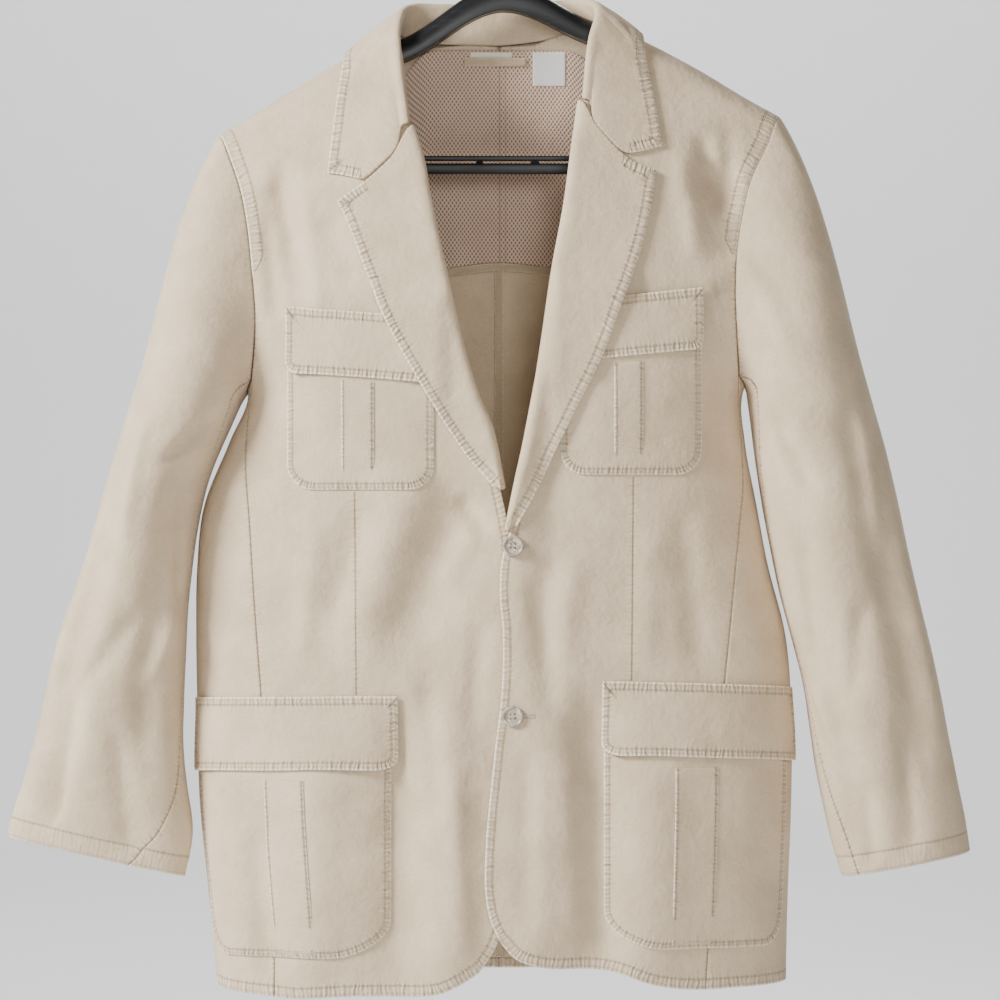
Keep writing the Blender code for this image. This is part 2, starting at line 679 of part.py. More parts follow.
def sleeve_section(side, station, turn):
    """Point of the sleeve's outer face at a station and a turn round it."""
    rows = np.asarray(SLEEVE[side], float)
    value = interpolate(np.arange(len(rows)), rows, station)
    outer = np.stack([value[..., 0], value[..., 5], value[..., 1]], -1)
    inner = np.stack([value[..., 2], value[..., 5], value[..., 3]], -1)
    angle = np.radians(turn)
    power = 2 / SLEEVE_SQUARENESS
    across = np.sign(np.cos(angle)) * np.abs(np.cos(angle)) ** power
    fore = np.sign(np.sin(angle)) * np.abs(np.sin(angle)) ** power
    fold = np.zeros(np.broadcast(station, turn).shape)
    for place, start, end, width, height in SLEEVE_FOLDS[side]:
        ends = smooth((station - start) / 0.7) * smooth((end - station) / 0.9)
        fold = fold + height * np.exp(-((turn - place) / width) ** 2) * ends
    middle = (outer + inner) / 2
    reach = (outer - inner) / 2
    size = 1 + fold / np.maximum(np.abs(value[..., 4]), 20)
    y = np.stack([np.zeros_like(fore), -value[..., 4] * fore, np.zeros_like(fore)], -1)
    return middle + (reach * across[..., None] + y) * size[..., None]


def sleeve_skin(side, share, turn):
    """Point of a sleeve's outer face. Share runs from the armhole to the cuff."""
    share, turn = np.broadcast_arrays(np.asarray(share, float), np.asarray(turn, float))
    last = len(SLEEVE[side]) - 1
    below = np.clip((share - CAP_SHARE) / (1 - CAP_SHARE), 0, 1) * last
    lower = sleeve_section(side, below, turn)
    t = np.clip(share / CAP_SHARE, 0, 1)[..., None]
    start, normal = armhole(side, turn)
    end = sleeve_section(side, np.zeros_like(turn), turn)
    ahead = sleeve_section(side, np.full_like(turn, 0.02), turn) - end
    ahead = ahead / np.linalg.norm(ahead, axis=-1, keepdims=True)
    angle = np.radians(turn)
    fore = np.sin(angle)
    leave = np.stack([side * (0.55 + 0.35 * np.abs(fore)), -0.45 * fore,
                      -0.85 + 0.35 * np.abs(fore)], -1)
    leave = leave / np.linalg.norm(leave, axis=-1, keepdims=True)
    length = np.linalg.norm(end - start, axis=-1, keepdims=True) * CAP_REACH
    under = np.clip(-np.cos(angle), 0, 1)[..., None]
    start = start + (leave + normal * under) * SLEEVE_GAP
    cap = start * (2 * t ** 3 - 3 * t ** 2 + 1) + end * (3 * t ** 2 - 2 * t ** 3)
    cap = cap + leave * length * (t ** 3 - 2 * t ** 2 + t) + ahead * length * (t ** 3 - t ** 2)
    return np.where((share <= CAP_SHARE)[..., None], cap, lower)


def sleeve_normal(side, share, turn):
    """Outward normal of a sleeve, which starts as the torso's normal at the armhole."""
    share, turn = np.broadcast_arrays(np.asarray(share, float), np.asarray(turn, float))
    inside = np.clip(share, 0.004, 0.996)
    normal = normal_of(lambda a, b: sleeve_skin(side, a, b), inside, turn, 0.003, 1.0)
    normal = -normal * side
    torso = armhole(side, turn)[1]
    mitre = torso + normal
    mitre = mitre / np.linalg.norm(mitre, axis=-1, keepdims=True)
    blend = smooth(share / 0.04)[..., None]
    mixed = mitre * (1 - blend) + normal * blend
    return mixed / np.linalg.norm(mixed, axis=-1, keepdims=True)


def build_sleeve(side, upper, name, material):
    """Half of a two-piece sleeve, between its front and its back seam."""
    knots = np.concatenate([[0.0], np.linspace(CAP_SHARE, 1.0, 7)])
    front_turns = np.array([UNDERARM_FROM, *FRONT_SEAM_TURN[side]], float)
    back_turns = np.array([UNDERARM_TO, *BACK_SEAM_TURN[side]], float)
    gap = np.degrees(SEAM / 60)
    steps = np.asarray(ARM_STEPS, float)

    def to_plane(u, v):
        front = interpolate(knots, front_turns[:, None], v)[..., 0]
        back = interpolate(knots, back_turns[:, None], v)[..., 0]
        if upper:
            step = np.abs(2 * u - 1) * ARM_ROWS
            part = np.interp(step, np.arange(ARM_ROWS + 1), steps[:, 1] / UNDERARM_FROM)
            turn = np.where(u < 0.5, (front - gap) * part, (back + gap - 360) * part)
        else:
            turn = (front + gap) * (1 - u) + (back - gap) * u
        return np.stack([v, turn], -1)

    def surface(a, b):
        return sleeve_skin(side, a, np.mod(b, 360))

    def normal(a, b):
        return sleeve_normal(side, a, np.mod(b, 360))

    place = wall_on(surface, normal, to_plane, -WALL, WALL)
    return make_wall(name, 2 * ARM_ROWS if upper else SIDE_COLUMNS, 17, place, material)


def fold_strip(side, name, material):
    """Lapel: turned back round the front's edge and laid on the front."""
    turned = list(FRONT_EDGE[side][ROLL_ROWS])
    turned[0] = (turned[0][0], turned[0][1] - NOTCH_GAP)
    roll = line(to_wrap(turned))
    edge = line(to_wrap(LAPEL_EDGE[side]))
    top = line(to_wrap(lapel_top(side)), soft=False)
    bottom = line(to_wrap([turned[-1], LAPEL_EDGE[side][-1]]))
    lifted = side > 0
    fold = np.asarray(LAPEL_FOLD, float)
    folds = len(fold)
    over = 5

    def place(u, v, inner):
        index = np.round(u * (folds - 1 + over)).astype(int)
        share = np.clip((index - (folds - 1)) / over, 0, 1)
        plane = coons(share, v, roll, edge, top, bottom)
        aim = edge(v) - roll(v)
        width = np.linalg.norm(aim, axis=-1)
        run = roll(np.minimum(v + 0.01, 1)) - roll(np.maximum(v - 0.01, 0))
        aim = np.stack([run[:, 1], -run[:, 0]], -1) * side
        aim = aim / np.linalg.norm(aim, axis=-1, keepdims=True)
        k = np.minimum(index, folds - 1)
        taper = np.clip(width / 30, 0.2, 1)
        out = fold[k, 0] * np.where(fold[k, 0] > 0, taper, 1) * (1 - share)
        plane = plane + aim * out[:, None]
        peak = fold[-1, 1]
        height = np.where(index < folds, fold[k, 1], 0)
        settle = LAPEL_REST + (peak - LAPEL_REST) * (1 - share) ** 2
        height = np.where(index >= folds, settle, height)
        crossing = pocket_bump(side, plane[:, 0], skin(plane[:, 0], plane[:, 1])[:, 2])
        height = height + crossing * smooth((index - folds + 2) / 2.0)
        point = skin(plane[:, 0], plane[:, 1], lifted)
        normal = skin_normal(plane[:, 0], plane[:, 1], lifted)
        face = fold_normals(fold, np.minimum(index, folds - 1), index >= folds)
        away = -aim
        side_way = skin(plane[:, 0] + away[:, 0], plane[:, 1] + away[:, 1], lifted) - point
        side_way = side_way / np.linalg.norm(side_way, axis=-1, keepdims=True)
        outward = normal * face[:, 1:2] + side_way * face[:, 0:1]
        thick = np.where(inner, DOUBLE, 0.0)
        return point + normal * height[:, None] - outward * thick[:, None]

    return make_wall(name, folds - 1 + over, 13, place, material)


def pocket_bump(side, x, z):
    """Extra height of the lapel where it crosses the chest pocket and its flap."""
    _, inner, top, bottom, flap_end = CHEST_POCKET[side]
    slant = CHEST_SLANT[side]
    beside = smooth((side * (x - inner) + BUMP_EDGE) / BUMP_EDGE)
    above = smooth((top + BUMP_EDGE - z) / BUMP_EDGE)
    pocket = beside * above * smooth((z - bottom + BUMP_EDGE) / BUMP_EDGE)
    flap = beside * above * smooth((z - flap_end - slant + BUMP_EDGE + 3) / BUMP_EDGE)
    return (POCKET_WALL + 0.6) * pocket + (PILE + FLAP + 0.5) * flap


def fold_normals(fold, index, flat):
    """Outward direction at each step of a fold, as away-from-cloth and height parts."""
    steps = np.gradient(fold, axis=0)
    away = np.stack([steps[:, 1], steps[:, 0]], -1)
    away = away / np.linalg.norm(away, axis=-1, keepdims=True)
    away[0] = (0.0, -1.0)
    away[-1] = (0.0, 1.0)
    chosen = away[index]
    return np.where(flat[:, None], np.array([0.0, 1.0]), chosen)


def lapel_top(side):
    """The gorge seam and the lapel's side of the notch, a seam's gap below the collar."""
    points = [(x, z - NOTCH_GAP) for x, z in GORGE[side]]
    return points + list(LAPEL_NOTCH[side])


def across_to(vector, direction):
    """The part of a vector across a direction, as a unit vector."""
    left = vector - direction * np.sum(vector * direction, axis=-1, keepdims=True)
    return left / np.maximum(np.linalg.norm(left, axis=-1, keepdims=True), 1e-6)


def stand_off(point, height):
    """A point pushed out until it stands at least this high over the cloth."""
    face = np.where(point[..., 1] < 0, -1, 1)
    wrap = wrap_of(point[..., 0], point[..., 2], face)
    normal = skin_normal(point[..., 0], wrap)
    own = np.sum((point - skin(point[..., 0], wrap)) * normal, axis=-1, keepdims=True)
    return point + normal * np.maximum(height - own, 0)


def collar_point(station, share):
    """Point of the collar's show face, from its neck seam up, over and down its fall."""
    count = len(COLLAR_ROLL)
    neck_plane = []
    roll_points = []
    edge_plane = []
    for row, edge in zip(COLLAR_ROLL, COLLAR_EDGE):
        neck_plane.append((row[0], float(wrap_of(row[0], row[1], row[2]))))
        edge_plane.append((edge[0], float(wrap_of(edge[0], edge[1], edge[2]))))
        y = row[4]
        if y is None:
            y = float(skin(row[0], neck_plane[-1][1])[1]) - 6.0
        roll_points.append((row[3], y, row[5]))
    knots = np.arange(count)
    neck = interpolate(knots, neck_plane, station)
    edge = interpolate(knots, edge_plane, station)
    roll = interpolate(knots, roll_points, station)
    before = interpolate(knots, roll_points, station - 0.1)
    run = interpolate(knots, roll_points, station + 0.1) - before
    run = run / np.linalg.norm(run, axis=-1, keepdims=True)
    neck_skin = skin(neck[..., 0], neck[..., 1])
    neck_normal = skin_normal(neck[..., 0], neck[..., 1])
    start = neck_skin + neck_normal * NECK_EASE
    lift = DOUBLE + LAY + SHOULDER_EASE * np.exp(-(edge[..., 1:2] / ROLL) ** 2)
    finish = skin(edge[..., 0], edge[..., 1]) + skin_normal(edge[..., 0], edge[..., 1]) * lift
    across = finish - roll
    rise = roll - start
    up = across_to(rise, run)
    near = (start + roll) / 2
    out = across_to(across_to(across, run), up)
    crest = roll + out * 3.3 + up * 2.0
    landing = roll + out * 6.8 - up * 0.4
    bulge = out * COLLAR_BULGE
    steps = [start, near, roll - up * 0.5, crest, landing]
    for k in (0.34, 0.67):
        fall = landing + (finish - landing) * k + bulge * (4 * k * (1 - k))
        steps.append(stand_off(fall, DOUBLE + LAY + COLLAR_BULGE))
    steps.append(finish)
    marks = np.linspace(0, 1, len(steps))
    flat = np.stack(steps, -2)
    k = np.clip(np.searchsorted(marks, share, side="right") - 1, 0, len(steps) - 2)
    t = ((share - marks[k]) * (len(steps) - 1))[..., None]
    index = np.arange(len(flat))
    return flat[index, k] * (1 - t) + flat[index, k + 1] * t


def collar_end(side, share):
    """Border of the collar's end: along the gorge seam and the notch to the tip."""
    points = to_wrap(list(GORGE[side]) + list(COLLAR_NOTCH[side]))
    return route(points, share, soft=False)


def build_collar(name, material):
    """Collar with its stand and fall, from one gorge seam round the neck to the other."""
    last = len(COLLAR_ROLL) - 1
    first_fall = 4 / 7
    row_marks = np.concatenate([[0], np.cumsum(COLLAR_ROWS)])

    def surface(a, b):
        point = collar_point(a, b)
        for side, middle in ((-1, 0.0), (1, float(last))):
            near = 1 - smooth(np.abs(a - middle) / 1.6)
            fall = np.clip((b - first_fall) / (1 - first_fall), 0, 1)
            plane = collar_end(side, 0.06 + 0.94 * fall)
            rest = skin(plane[..., 0], plane[..., 1])
            height = DOUBLE + LAY + 3.2 * (1 - fall) ** 2
            target = rest + skin_normal(plane[..., 0], plane[..., 1]) * height[..., None]
            own = collar_point(np.full_like(a, middle), b)
            use = (near * smooth(fall * 2.6))[..., None]
            point = point + (target - own) * use
        return point

    def place(u, v, inner):
        a = 0.02 + np.interp(v * row_marks[-1], row_marks, np.arange(last + 1)) * (1 - 0.04 / last)
        step = 0.02
        along = surface(a + step, u) - surface(a - step, u)
        low = np.clip(u - 0.03, 0, 1)
        high = np.clip(u + 0.03, 0, 1)
        across = surface(a, high) - surface(a, low)
        normal = np.cross(along, across)
        normal = normal / np.linalg.norm(normal, axis=-1, keepdims=True)
        return surface(a, u) - normal * np.where(inner, DOUBLE, 0.0)[:, None]

    return make_wall(name, 7, sum(COLLAR_ROWS), place, material)


def rounded(u, v, width, height, radius):
    """Share of a patch's width that its rounded lower corners leave at each row."""
    rise = (1 - v) * height
    curve = radius - np.sqrt(np.maximum(radius ** 2 - (radius - rise) ** 2, 0))
    inset = np.where(rise < radius, curve, 0)
    edge = inset / width
    return edge + u * (1 - 2 * edge)


def corner_rows(v, height, radius):
    """Rows gathered toward a rounded end, so that it keeps its shape."""
    start = 1 - radius / height
    angle = np.clip((v - 0.55) / 0.45, 0, 1) * math.pi / 2
    return np.where(v < 0.55, v / 0.55 * start, start + (1 - start) * np.sin(angle) * 0.995)


def chest_patch(name, size, lift, thick, cells, radius, top_slant, low_slant, material):
    """A patch on the chest between two x and two heights, with rounded lower corners."""
    columns, rows = cells
    x0, x1, top, bottom = size

    def to_plane(u, v):
        share = corner_rows(v, abs(top - bottom), radius) if radius else v
        across = rounded(u, share, abs(x1 - x0), abs(top - bottom), radius) if radius else u
        x = x0 + (x1 - x0) * across
        slant = top_slant + (low_slant - top_slant) * share
        z = top + (bottom - top) * share + slant * across
        return np.stack([x, wrap_of(x, z)], -1)

    place = wall_on(skin, skin_normal, to_plane, lift, thick)
    return make_wall(name, columns, rows, place, material)


def lower_patch(name, side, inner_x, outer_turn, span, lift, thick, cells, radius, material):
    """A patch that runs from the front round toward the side."""
    columns, rows = cells
    top, bottom, slant = span

    def to_plane(u, v):
        share = corner_rows(v, abs(top - bottom), radius) if radius else v
        across = rounded(u, share, 150.0, abs(top - bottom), radius) if radius else u
        z = top + (bottom - top) * share + slant * across
        start = turn_of(np.full_like(z, inner_x), z)
        return np.stack([start + (outer_turn - start) * across, z], -1)

    place = wall_on(lambda a, b: flank(a, b, side), lambda a, b: flank_normal(a, b, side),
                    to_plane, lift, thick)
    return make_wall(name, columns, rows, place, material)


def build_pockets(material):
    """Chest and lower patch pockets, each with its strip and its flap."""
    for side, word in ((-1, "right"), (1, "left")):
        outer, inner, top, bottom, flap_end = CHEST_POCKET[side]
        slant = CHEST_SLANT[side]
        chest_patch("chest_pocket_" + word, (outer, inner, top - UNDER_FLAP, bottom), LAY,
                    POCKET_WALL, (9, 11), CHEST_CORNER, slant, 0.0, material)
        x0, x1, high, low = CHEST_STRIP[side]
        above = LAY + POCKET_WALL + PILE
        chest_patch("chest_strip_" + word, (x0, x1, high - 3.0, low + 2.5), above, STRIP,
                    (2, 6), 0, slant * 0.2, 0.0, material)
        chest_patch("chest_flap_" + word, (outer + side * 0.6, inner, top, flap_end), above,
                    FLAP, (8, 4), FLAP_CORNER, slant, slant, material)
        build_lower_pocket(side, word, material)


def build_lower_pocket(side, word, material):
    inner, share, flap_share, top, bottom, flap_end, slant = LOWER_POCKET[side]
    turns = [float(np.degrees(np.arccos(s ** (SQUARENESS / 2)))) for s in (share, flap_share)]
    above = LAY + POCKET_WALL + PILE
    lower_patch("lower_pocket_" + word, side, inner, turns[0], (top - UNDER_FLAP, bottom, 0.0),
                LAY, POCKET_WALL, (13, 11), LOWER_CORNER, material)
    x0, x1, high, low = LOWER_STRIP[side]
    z = (high + low) / 2
    strip_turns = [float(turn_of(x, z)) for x in (x0, x1)]
    lower_strip("lower_strip_" + word, side, strip_turns, high - 3.0, low + 3.0, above, material)
    lower_patch("lower_flap_" + word, side, LOWER_FLAP_EDGE[side], turns[1],
                (top, flap_end, slant), above, FLAP, (13, 4), FLAP_CORNER, material)


def lower_strip(name, side, turns, top, bottom, lift, material):
    """Strip down the middle of a lower pocket."""
    def to_plane(u, v):
        z = top + (bottom - top) * v
        return np.stack([turns[0] + (turns[1] - turns[0]) * u, z], -1)

    place = wall_on(lambda a, b: flank(a, b, side), lambda a, b: flank_normal(a, b, side),
                    to_plane, lift, STRIP)
    return make_wall(name, 3, 6, place, material)


def build_buttons(material):
    """Two turned buttons with four holes, on the overlapping front."""
    for number, z in enumerate(BUTTON_HEIGHTS, 1):
        wrap = wrap_of(BUTTON_X, z)
        face = skin(BUTTON_X, wrap, True)
        normal = Vector(skin_normal(np.array(BUTTON_X), np.array(float(wrap)), True))
        profile = ((0.0, 0.0), (0.72, 0.0), (0.95, 0.3), (1.0, 0.62), (0.93, 0.92), (0.8, 1.0),
                   (0.66, 0.8), (0.0, 0.72))
        bm = bmesh.new()
        verts = []
        for r, h in profile:
            verts.append(bm.verts.new((r * BUTTON_RADIUS * MM, 0, h * BUTTON_THICK * MM)))
        edges = [bm.edges.new(pair) for pair in zip(verts, verts[1:])]
        bmesh.ops.spin(bm, geom=verts + edges, cent=(0, 0, 0), axis=(0, 0, 1), angle=math.tau,
                       steps=16, use_merge=True)
        bmesh.ops.remove_doubles(bm, verts=bm.verts[:], dist=0.00002)
        bmesh.ops.recalc_face_normals(bm, faces=bm.faces[:])
        base = Vector(face) + normal * 0.6
        turn = Vector((0, 0, 1)).rotation_difference(normal).to_matrix().to_4x4()
        bmesh.ops.transform(bm, matrix=Matrix.Translation(base * MM) @ turn, verts=bm.verts[:])
        add_object("button_%d" % number, bm, material)


def build_inside(mesh_cloth, khaki, white):
    """What shows through the open neck: lining, bindings, labels and loop."""
    depth_in = -WALL - LINING_GAP - LINING_WALL

    def lining_plane(u, v):
        x = LINING_HALF * (2 * u - 1)
        near = smooth((np.abs(x) - 56) / 44)
        top = (NECK_BACK[1] - NECK_GAP) * (1 - near) + (shoulder(x) - LINING_SHOULDER_DROP) * near
        low = LINING_END + LINING_ARCH * np.exp(-(x / 46) ** 2)
        z = top + (low - top) * v
        return np.stack([x, wrap_of(x, z, 1)], -1)

    place = wall_on(skin, skin_normal, lining_plane, depth_in, LINING_WALL)
    make_wall("mesh_lining", 12, 6, place, mesh_cloth)

    def binding_plane(u, v):
        x = LINING_HALF * (2 * u - 1)
        low = LINING_END - 0.4 + LINING_ARCH * np.exp(-(x / 46) ** 2)
        return np.stack([x, wrap_of(x, low - BINDING_WIDTH * v, 1)], -1)

    place = wall_on(skin, skin_normal, binding_plane, depth_in - 0.2, LINING_WALL + 0.4)
    make_wall("lining_binding", 16, 1, place, khaki)

    width, high, low = BACK_BINDING

    def seam_plane(u, v):
        x = width * (u - 0.5)
        return np.stack([x, wrap_of(x, high + (low - high) * v, 1)], -1)

    place = wall_on(skin, skin_normal, seam_plane, -WALL - TAPE_GAP - TAPE_WALL, TAPE_WALL)
    make_wall("back_seam_binding", 2, 15, place, khaki)
    for name, size in (("neck_label", NECK_LABEL), ("care_label", CARE_LABEL)):
        label(name, size, depth_in - LABEL_GAP - LABEL_WALL, white)
    build_loop(depth_in - LOOP_GAP, khaki)


def label(name, size, height, material):
    x0, x1, low, high = size

    def to_plane(u, v):
        x = x0 + (x1 - x0) * u
        z = high + (low - high) * v - NECK_BELOW
        return np.stack([x, wrap_of(x, np.minimum(z, NECK_BACK[1] - LABEL_DROP), 1)], -1)

    place = wall_on(skin, skin_normal, to_plane, height, LABEL_WALL)
    return make_wall(name, 3, 3, place, material)


def build_loop(height, material):
    """Hanging loop: a narrow tape across the neck label."""
    def to_plane(u, v):
        x = LOOP_ENDS[0] + (LOOP_ENDS[1] - LOOP_ENDS[0]) * u
        z = NECK_BACK[1] - LOOP_DROP - LOOP_WIDTH * v
        return np.stack([x, wrap_of(x, z, 1)], -1)

    place = wall_on(skin, skin_normal, to_plane, height - TAPE_WALL, TAPE_WALL)
    return make_wall("hanging_loop", 10, 1, place, material)


def hanger_top(x):
    """Height of the hanger's upper face: under the cloth, and arched up at the neck."""
    under = shoulder(x) - (WALL + 0.6) * SLOPE_ROOM
    share = np.clip(np.abs(x) / ARCH_HALF, 0, 1)
    rise = ARCH_RISE * 0.5 * (1 + np.cos(share * math.pi))
    return under + rise * (1 - 0.1 * share)


def build_hanger(material):
    """Moulded hanger: arched shoulders, trouser bar, thin rail, spacers and hook."""
    def place(u, v, inner):
        x = HANGER_REACH * (2 * v - 1)
        middle = 1 - smooth((np.abs(x) - 20) / 90)
        wide = HANGER_DEPTH + (ARCH_DEPTH - HANGER_DEPTH) * middle
        thick = HANGER_THICK + (ARCH_THICK - HANGER_THICK) * middle
        end = smooth((HANGER_REACH - np.abs(x)) / 26)
        thick = thick * (0.62 + 0.38 * end)
        wide = wide * (0.7 + 0.3 * end)
        angle = (u * 2 - 1) * HANGER_TURN
        radius = wide / math.sin(HANGER_TURN)
        y = radius * np.sin(angle)
        arch = radius * (1 - np.cos(angle)) * SLOPE_ROOM
        z = hanger_top(x) - arch
        floor = hanger_top(x) - thick - 0.10 * arch
        return np.stack([x, y, np.where(inner, floor, z)], -1)

    make_wall("hanger_shoulders", 6, 26, place, material)
    build_bar(material)
    build_hook(material)


def build_bar(material):
    """Trouser bar with its two upturned ends, the rail above it and their spacers."""
    end_x = BAR_REACH
    arm_low = [float(hanger_top(side * end_x)) - HANGER_THICK * 0.93 - 2.2 for side in (-1, 1)]
    middle = (BAR_TOP + BAR_BOTTOM) / 2
    half = (BAR_TOP - BAR_BOTTOM) / 2
    bend = BAR_BEND

    def place(u, v, inner):
        corner = bend * 0.3
        path = [(-end_x, arm_low[0]), (-end_x, middle + bend), (corner - end_x, middle + corner),
                (-end_x + bend, middle), (end_x - bend, middle),
                (end_x - corner, middle + corner), (end_x, middle + bend), (end_x, arm_low[1])]
        path = np.asarray(path, float)
        marks = np.array([0, 0.12, 0.18, 0.24, 0.76, 0.82, 0.88, 1.0])
        centre = interpolate(marks, path, v, soft=False)
        side = np.interp(v, marks, np.radians([180, 180, 225, 270, 270, 315, 360, 360]))
        out = np.stack([np.cos(side), np.sin(side)], -1)
        reach = np.where(inner, -half, half)[:, None]
        flat = centre + out * reach
        y = (u * 2 - 1) * BAR_HALF_DEPTH
        return np.stack([flat[:, 0], y, flat[:, 1]], -1)

    make_wall("hanger_bar", 1, 25, place, material)
    rail = end_x - half - bend / 2

    def rail_place(u, v, inner):
        x = rail * (2 * v - 1)
        y = (u * 2 - 1) * (BAR_HALF_DEPTH - RAIL_INSET)
        return np.stack([x, y, np.where(inner, RAIL_BOTTOM, RAIL_TOP)], -1)

    make_wall("hanger_rail", 1, 8, rail_place, material)
    for number, (x, width) in enumerate(SPACERS, 1):
        def block(u, v, inner, x=x, width=width):
            at = x + width * (u - 0.5)
            y = (v * 2 - 1) * (BAR_HALF_DEPTH - SPACER_INSET)
            return np.stack([at, y, np.where(inner, BAR_TOP + CLEAR, RAIL_BOTTOM - CLEAR)], -1)

        make_wall("hanger_spacer_%d" % number, 1, 1, block, material)


def build_hook(material):
    """Hook: a shank from the arch that swings aside and turns over the rod."""
    centre_z = -HOOK_RADIUS + HOOK_WIRE
    foot = float(hanger_top(0.0)) + CLEAR
    first = math.radians(-52)
    last = math.radians(212)
    bend_x = HOOK_RADIUS * math.cos(first)
    bend_z = centre_z + HOOK_RADIUS * math.sin(first)
    points = [(0, foot), (0.2, foot + 5), (2.5, foot + 11), (8, foot + 16), (bend_x, bend_z)]
    points = [p for p in points if p[1] <= bend_z]
    for k in range(1, HOOK_STEPS + 1):
        angle = first + (last - first) * k / HOOK_STEPS
        points.append((HOOK_RADIUS * math.cos(angle), centre_z + HOOK_RADIUS * math.sin(angle)))
    curve = bpy.data.curves.new("hanger_hook", "CURVE")
    curve.dimensions = "3D"
    curve.bevel_depth = HOOK_WIRE * MM
    curve.bevel_resolution = 2
    curve.use_fill_caps = True
    spline = curve.splines.new("POLY")
    spline.points.add(len(points) - 1)
    for point, (x, z) in zip(spline.points, points):
        point.co = (x * MM, 0, z * MM, 1)
    curve.materials.append(material)
    hook = bpy.data.objects.new("hanger_hook", curve)
    bpy.context.scene.collection.objects.link(hook)


def main():
    for thing in list(bpy.data.objects):
        bpy.data.objects.remove(thing, do_unlink=True)
    khaki = make_material("khaki_twill", KHAKI, 0.85)
    mesh_cloth = make_material("mesh_lining", MESH_BEIGE, 0.9)
    black = make_material("black_plastic", BLACK, 0.4)
    pearl = make_material("pearl_button", PEARL, 0.2)
    white = make_material("white_label", WHITE, 0.8)
    for side, word in ((-1, "right"), (1, "left")):
        build_front(side, "front_" + word, khaki)
        build_side(side, "side_" + word, khaki)
        build_back(side, word, khaki)
        build_sleeve(side, True, "top_sleeve_" + word, khaki)
        build_sleeve(side, False, "under_sleeve_" + word, khaki)
        fold_strip(side, "lapel_" + word, khaki)
    build_collar("collar", khaki)
    build_pockets(khaki)
    build_buttons(pearl)
    build_inside(mesh_cloth, khaki, white)
    build_hanger(black)


main()
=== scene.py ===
"""Safari jacket on a moulded suit hanger: the looks, laid out as an add-on.

Sizes in the tables are millimetres. X runs to the wearer's left, -Y is the front, and the
origin is where the hook sits on its rod. The wearer's right is at -X, which is side -1.
"""
import json
import math

import bmesh
import bpy
import numpy as np
from bpy.props import FloatProperty, FloatVectorProperty, PointerProperty
from mathutils import Matrix, Vector

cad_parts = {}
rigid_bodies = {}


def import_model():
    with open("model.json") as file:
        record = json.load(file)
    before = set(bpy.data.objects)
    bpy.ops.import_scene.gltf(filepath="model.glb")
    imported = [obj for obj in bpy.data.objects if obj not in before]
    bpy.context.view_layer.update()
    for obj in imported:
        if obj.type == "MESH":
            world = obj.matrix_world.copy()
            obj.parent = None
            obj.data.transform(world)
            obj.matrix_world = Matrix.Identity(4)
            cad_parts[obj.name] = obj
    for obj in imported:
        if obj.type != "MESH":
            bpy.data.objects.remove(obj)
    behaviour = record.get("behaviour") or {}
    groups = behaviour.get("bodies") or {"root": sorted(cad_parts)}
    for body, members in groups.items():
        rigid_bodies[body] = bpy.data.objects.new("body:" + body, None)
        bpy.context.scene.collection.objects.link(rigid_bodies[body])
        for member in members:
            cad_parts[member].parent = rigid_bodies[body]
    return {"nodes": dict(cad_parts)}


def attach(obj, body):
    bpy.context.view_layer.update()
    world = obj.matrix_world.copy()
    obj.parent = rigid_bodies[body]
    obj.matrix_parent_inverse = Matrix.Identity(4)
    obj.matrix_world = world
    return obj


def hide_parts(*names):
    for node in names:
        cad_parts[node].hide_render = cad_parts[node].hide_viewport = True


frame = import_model()

bl_info = {
    "name": "Safari jacket",
    "version": (1, 0, 0),
    "blender": (4, 5, 0),
    "location": "View3D > Sidebar > Jacket",
    "description": "Builds a hanging safari jacket from its cut pieces",
    "category": "Add Mesh",
}

MM = 0.001
SIDES = ((-1, "right"), (1, "left"))
FORWARD = (0, -1, 0)
FAR = 200.0  # stands for no border near

# Cloth and seams
WALL = 1.4  # one layer of twill with its seam allowance
DOUBLE = 2.0  # turned and stitched double layers: collar and lapels
SEAM = 0.03  # each panel stops this short of the middle of its seam
LAY = 1.15  # clear space under a piece that lies on a panel
POCKET_WALL = 1.1  # patch pocket
PILE = 0.9  # clear space between the layers of a pocket
FLAP = 1.3  # pocket flap
STRIP = 0.7  # stitched strip down the middle of a pocket
OVERLAP_LIFT = 5.8  # the left front lies over the right one
EDGE_TRIM = 1.4  # each front's cut edge lies this far inside its lapel's fold

PANEL_ROWS = 21  # rows of a panel, of which the first lie along the armhole
SEAM_SPREAD = 1.2  # rows are closer under the arm
# Columns: share of the armhole's length at each row, and the sleeve's turn that meets it
ARM_STEPS = np.array(((0.0, 0), (0.05, 10), (0.10, 19), (0.165, 31), (0.33, 55), (0.55, 85),
                      (0.78, 118), (1.0, 150)))
ARM_ROWS = len(ARM_STEPS) - 1
SHOULDER_RUNS = (0.0, 11.0, 22.0, 36.0)  # rows that follow the turn over the hanger

# Torso form
ROLL = 18.0  # half thickness where the cloth turns over the hanger
FILL_DROP = 220.0  # drop below the shoulder at which the chest has its full depth
SQUARENESS = 2.6  # exponent of the flattened cross-section

# Columns: height, half width right, half width left, depth front, depth back
TORSO = (
    (-80, 264, 264, 66, 52),
    (-300, 258, 258, 70, 56),
    (-370, 236, 232, 72, 58),
    (-415, 213, 207, 74.5, 58),
    (-455, 228, 208.5, 72, 58),
    (-510, 250, 218.5, 72, 60),
    (-560, 256, 228, 72, 60),
    (-620, 257, 243, 72, 62),
    (-680, 256, 248, 74, 62),
    (-760, 254, 248, 76, 62),
    (-840, 246, 245, 76, 60),
    (-925, 238, 243, 72, 58),
)

